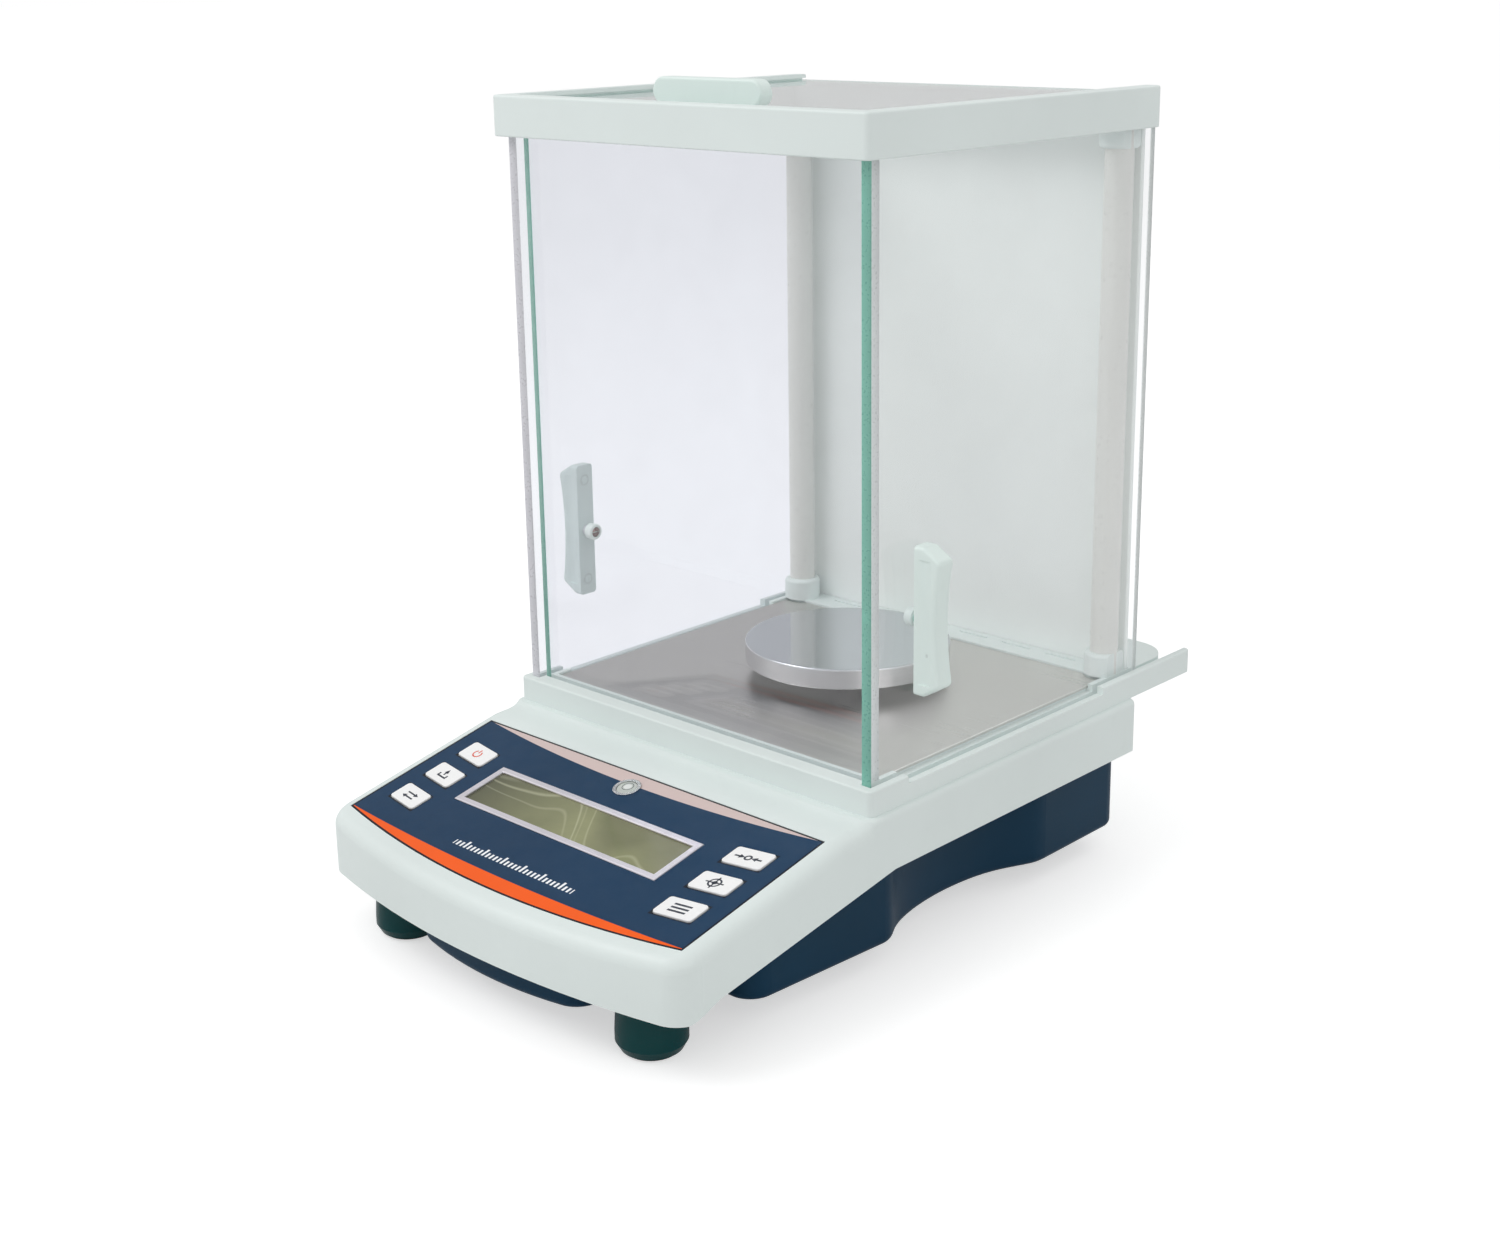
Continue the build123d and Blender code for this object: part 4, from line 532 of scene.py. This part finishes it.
def bar(x, y, width, height):
    """Corners of a bar centred on x, y."""
    left, right, low, high = x - width / 2, x + width / 2, y - height / 2, y + height / 2
    return [[(left, low), (right, low), (right, high), (left, high)]]


def ring(x, y, radius, width, start=0.0, end=360.0, steps=32):
    """Short quads along an arc, in degrees."""
    quads = []
    for k in range(steps):
        a = math.radians(start + (end - start) * k / steps)
        b = math.radians(start + (end - start) * (k + 1) / steps)
        quads.append([(x + r * math.cos(t), y + r * math.sin(t))
                      for r, t in ((radius - width, a), (radius, a), (radius, b), (radius - width, b))])
    return quads


def arrow(x, y, size, turn):
    """A triangle pointing along turn, in degrees."""
    a = math.radians(turn)
    c, s = math.cos(a), math.sin(a)
    points = [(size, 0), (-size * 0.6, size * 0.8), (-size * 0.6, -size * 0.8)]
    return [[(x + u * c - v * s, y + u * s + v * c) for u, v in points]]


# millimetres from the middle of each key
SYMBOLS = {
    "key_power": ring(0, 0, 2.5, 0.7, 125, 415) + bar(0, 1.8, 0.7, 2.4),
    "key_print": bar(0, -1.9, 6.2, 0.9) + bar(-2.7, -1.0, 0.9, 2.0) + bar(2.7, -1.0, 0.9, 2.0)
    + bar(0, 0.8, 0.9, 2.6) + arrow(0, 2.0, 1.6, 90),
    "key_units": bar(-0.5, 1.3, 5.4, 0.8) + arrow(2.8, 1.3, 1.5, 0)
    + bar(0.5, -1.3, 5.4, 0.8) + arrow(-2.8, -1.3, 1.5, 180),
    "key_tare": bar(-4.8, 0, 2.8, 0.9) + arrow(-3.0, 0, 1.6, 0)
    + bar(4.8, 0, 2.8, 0.9) + arrow(3.0, 0, 1.6, 180) + ring(0, 0, 1.7, 0.8),
    "key_calibrate": ring(0, 0, 2.8, 0.7) + bar(0, 0, 8.2, 0.65)
    + bar(0, 0, 0.65, 7.4) + ring(0, 0, 1.1, 0.6),
    "key_mode": bar(0, 2.1, 8.0, 1.0) + bar(0, 0, 8.0, 1.0) + bar(0, -2.1, 8.0, 1.0),
}


def ink(name, colour):
    """Printed ink, slightly uneven."""
    s = Shader(name)
    press = s.noise(1800, 3)
    base = s.toned(colour, s.remap(press, 0.3, 0.7, 0.85, 1.2))
    rough = s.remap(press, 0.3, 0.7, 0.4, 0.55)
    return s.done(s.principled(Base_Color=base, Roughness=rough, Normal=s.bump(press, 0.2, 0.02 * MM)))


DARK_INK = ink("ink_dark", rgb(46, 52, 66))
RED_INK = ink("ink_red", rgb(226, 92, 72))

for key, shapes in SYMBOLS.items():
    key_x, key_up = console_spot(key)
    slant = math.copysign(KEY_SLANT, key_x)
    mesh = bpy.data.meshes.new(key + "_symbol")
    work = bmesh.new()
    for outline in shapes:
        levels = []
        for height in (INK_LOW, INK_HIGH):
            slanted = [(key_x + u * MM, key_up + (v + slant * u) * MM) for u, v in outline]
            levels.append([work.verts.new(console_point(*point, height)) for point in slanted])
        work.faces.new(levels[1])
        work.faces.new(levels[0][::-1])
        for k in range(len(outline)):
            nxt = (k + 1) % len(outline)
            work.faces.new((levels[0][k], levels[0][nxt], levels[1][nxt], levels[1][k]))
    work.to_mesh(mesh)
    work.free()
    symbol = bpy.data.objects.new(key + "_symbol", mesh)
    bpy.context.scene.collection.objects.link(symbol)
    mesh.materials.append(RED_INK if key == "key_power" else DARK_INK)
    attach(symbol, key + "_body")


# ---------------------------------------------------------------- turned pan and door screws
def placed(name, work, finish, body):
    """An object from a bmesh, smooth except along its sharp edges, riding a body."""
    bmesh.ops.recalc_face_normals(work, faces=work.faces)
    mesh = bpy.data.meshes.new(name)
    work.to_mesh(mesh)
    work.free()
    mesh.shade_smooth()
    mesh.set_sharp_from_angle(angle=math.radians(35))
    mesh.materials.append(finish)
    made = bpy.data.objects.new(name, mesh)
    bpy.context.scene.collection.objects.link(made)
    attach(made, body)
    return made


def rounding(radius, height, size, start, steps=8):
    """Points of a quarter circle about radius, height, from the angle start downwards, in degrees."""
    angles = [math.radians(start - 90 * k / steps) for k in range(steps + 1)]
    return [(radius + size * math.cos(a), height + size * math.sin(a)) for a in angles]


def turned(work, profile, centre, segments):
    """Faces made by turning a profile of radius and height about the vertical line through centre."""
    rings = []
    for radius, height in profile:
        count = 1 if radius < 1e-6 else segments
        angles = [2 * math.pi * k / segments for k in range(count)]
        places = [(centre.x + radius * math.cos(a), centre.y + radius * math.sin(a), height) for a in angles]
        rings.append([work.verts.new(place) for place in places])
    for one, other in zip(rings, rings[1:]):
        for k in range(segments):
            nxt = k + 1
            corners = [one[k % len(one)], one[nxt % len(one)], other[nxt % len(other)], other[k % len(other)]]
            work.faces.new(list(dict.fromkeys(corners)))


PAN_LOW, PAN_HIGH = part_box("weighing_pan")
PAN_MIDDLE = (PAN_LOW + PAN_HIGH) / 2
PAN_R = (PAN_HIGH.x - PAN_LOW.x) / 2
PAN_TOP = PAN_HIGH.z
PAN_SEAT = PAN_LOW.z
PAN_BAND = 9.4 * MM
PAN_SKIN = 1.6 * MM
HUB_R, BORE_R, BORE_TOP = 9.0 * MM, 4.05 * MM, PAN_TOP - 3.0 * MM
TOP_ROUND, LOW_ROUND = 0.9 * MM, 0.4 * MM
PAN_SEGMENTS = 192
LIP = 0.05 * MM  # narrow ring that keeps the flats flat beside the rounded edges
pan_profile = [(0.0, PAN_TOP), (PAN_R / 2, PAN_TOP), (PAN_R - TOP_ROUND - LIP, PAN_TOP)]
pan_profile += rounding(PAN_R - TOP_ROUND, PAN_TOP - TOP_ROUND, TOP_ROUND, 90)
pan_profile += [(PAN_R, PAN_TOP - TOP_ROUND - LIP), (PAN_R, PAN_TOP - PAN_BAND + LOW_ROUND + LIP)]
pan_profile += rounding(PAN_R - LOW_ROUND, PAN_TOP - PAN_BAND + LOW_ROUND, LOW_ROUND, 0)
pan_profile += [
    (PAN_R - PAN_SKIN, PAN_TOP - PAN_BAND),
    (PAN_R - PAN_SKIN, PAN_TOP - PAN_SKIN),
    (HUB_R, PAN_TOP - PAN_SKIN),
    (HUB_R, PAN_SEAT),
    (BORE_R, PAN_SEAT),
    (BORE_R, BORE_TOP),
    (0.0, BORE_TOP),
]
pan_work = bmesh.new()
turned(pan_work, pan_profile, PAN_MIDDLE, PAN_SEGMENTS)
pan = placed("turned_pan", pan_work, BY_SLOT["pan_steel"], "pan")
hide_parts("weighing_pan")

SCREW_R = 2.3 * MM
SCREW_SUNK = 1.0 * MM  # floor of the boss's recess below its end
CROSS_HALF = 0.35 * MM  # half the width of its cross slot
HEAD_SET = 0.05 * MM  # how far the head is set into that floor
HEAD_LEVELS = ((0.0, 1.0), (0.45 * MM, 1.0), (0.7 * MM, 0.8))  # rise from its foot, share of the full radius
DARK_STEEL = brushed_metal("dark_screw", rgb(150, 124, 122), 0.30, (900, 900, 900), 0.12, 0.10)

for door, inward in (("left", 1), ("right", -1)):
    low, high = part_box(door + "_handle_screw")
    end_x = high.x if inward > 0 else low.x
    head = bmesh.new()
    quarter = [math.radians(90 * k / 8) for k in range(9)]
    for corner in range(4):
        turn = math.radians(90 * corner)
        outline = [(CROSS_HALF, CROSS_HALF)] + [
            (max(SCREW_R * math.cos(a), CROSS_HALF), max(SCREW_R * math.sin(a), CROSS_HALF)) for a in quarter
        ]
        levels = []
        for rise, shrink in HEAD_LEVELS:
            levels.append([
                head.verts.new((
                    end_x - inward * (SCREW_SUNK - rise - HEAD_SET),
                    (low.y + high.y) / 2 + shrink * (u * math.cos(turn) - v * math.sin(turn)),
                    (low.z + high.z) / 2 + shrink * (u * math.sin(turn) + v * math.cos(turn)),
                )) for u, v in outline
            ])
        for below, above in zip(levels, levels[1:]):
            for k in range(len(outline)):
                nxt = (k + 1) % len(outline)
                head.faces.new((below[k], below[nxt], above[nxt], above[k]))
        head.faces.new(levels[-1])
        head.faces.new(levels[0][::-1])
    placed(door + "_screw_head", head, DARK_STEEL, door + "_door")

# ---------------------------------------------------------------- floor, light and camera
floor_mesh = bpy.data.meshes.new("floor")
FLOOR_HALF = 30.0
floor_corners = [(FLOOR_HALF * u, FLOOR_HALF * v, 0) for u, v in ((-1, -1), (1, -1), (1, 1), (-1, 1))]
floor_mesh.from_pydata(floor_corners, [], [(0, 1, 2, 3)])
floor = bpy.data.objects.new("floor", floor_mesh)
bpy.context.scene.collection.objects.link(floor)
pale = Shader("pale_floor")
floor_rays = pale.nodes.new("ShaderNodeLightPath").outputs
looked_at = pale.maths("MAXIMUM", floor_rays["Is Camera Ray"], floor_rays["Is Transmission Ray"])
floor_mesh.materials.append(pale.done(pale.principled(
    Base_Color=rgb(214, 214, 214), Roughness=0.9, Emission_Color=rgb(255, 255, 255),
    Emission_Strength=pale.remap(looked_at, 0.0, 1.0, 0.10, 0.55),
)))

world = bpy.data.worlds.new("studio")
world.use_nodes = True
sky = world.node_tree.nodes["Background"]
sky.inputs["Color"].default_value = (1.0, 1.0, 1.0, 1.0)
seen = world.node_tree.nodes.new("ShaderNodeLightPath").outputs["Is Camera Ray"]
glow = world.node_tree.nodes.new("ShaderNodeMapRange")
glow.inputs["To Min"].default_value = 0.66
glow.inputs["To Max"].default_value = 1.0
world.node_tree.links.new(seen, glow.inputs["Value"])
world.node_tree.links.new(glow.outputs[0], sky.inputs["Strength"])
bpy.context.scene.world = world
bpy.context.scene.view_settings.view_transform = "Standard"


def softbox(name, place, aim, size, power):
    """A rectangular light at a place, aimed at a point."""
    light = bpy.data.lights.new(name, "AREA")
    light.shape = "RECTANGLE"
    light.size, light.size_y = size
    light.energy = power
    box = bpy.data.objects.new(name, light)
    box.location = place
    box.rotation_euler = (Vector(aim) - Vector(place)).to_track_quat("-Z", "Y").to_euler()
    bpy.context.scene.collection.objects.link(box)


softbox("key_light", (-0.70, -0.95, 1.45), (0, 0, 0.22), (1.1, 0.8), 9.0)
softbox("fill_light", (1.7, -0.5, 1.1), (0, 0, 0.15), (1.0, 1.2), 2.8)
softbox("back_light", (0.3, 1.6, 1.5), (0, 0, 0.2), (1.4, 0.8), 4)

CAMERA_PLACE = Vector((0.5800, -0.6193, 0.3915))
CAMERA_YAW, CAMERA_DOWN, CAMERA_ROLL = 43.683, 15.318, -0.893
camera_data = bpy.data.cameras.new("camera")
camera_data.sensor_width = 36.0
camera_data.lens = 48.96
camera_data.shift_y = -0.0657
camera_data.clip_start = 0.01
camera = bpy.data.objects.new("camera", camera_data)
turn = (
    Matrix.Rotation(math.radians(CAMERA_YAW), 4, "Z")
    @ Matrix.Rotation(math.radians(90 - CAMERA_DOWN), 4, "X")
    @ Matrix.Rotation(math.radians(CAMERA_ROLL), 4, "Z")
)
camera.matrix_world = Matrix.Translation(CAMERA_PLACE) @ turn
bpy.context.scene.collection.objects.link(camera)
bpy.context.scene.camera = camera
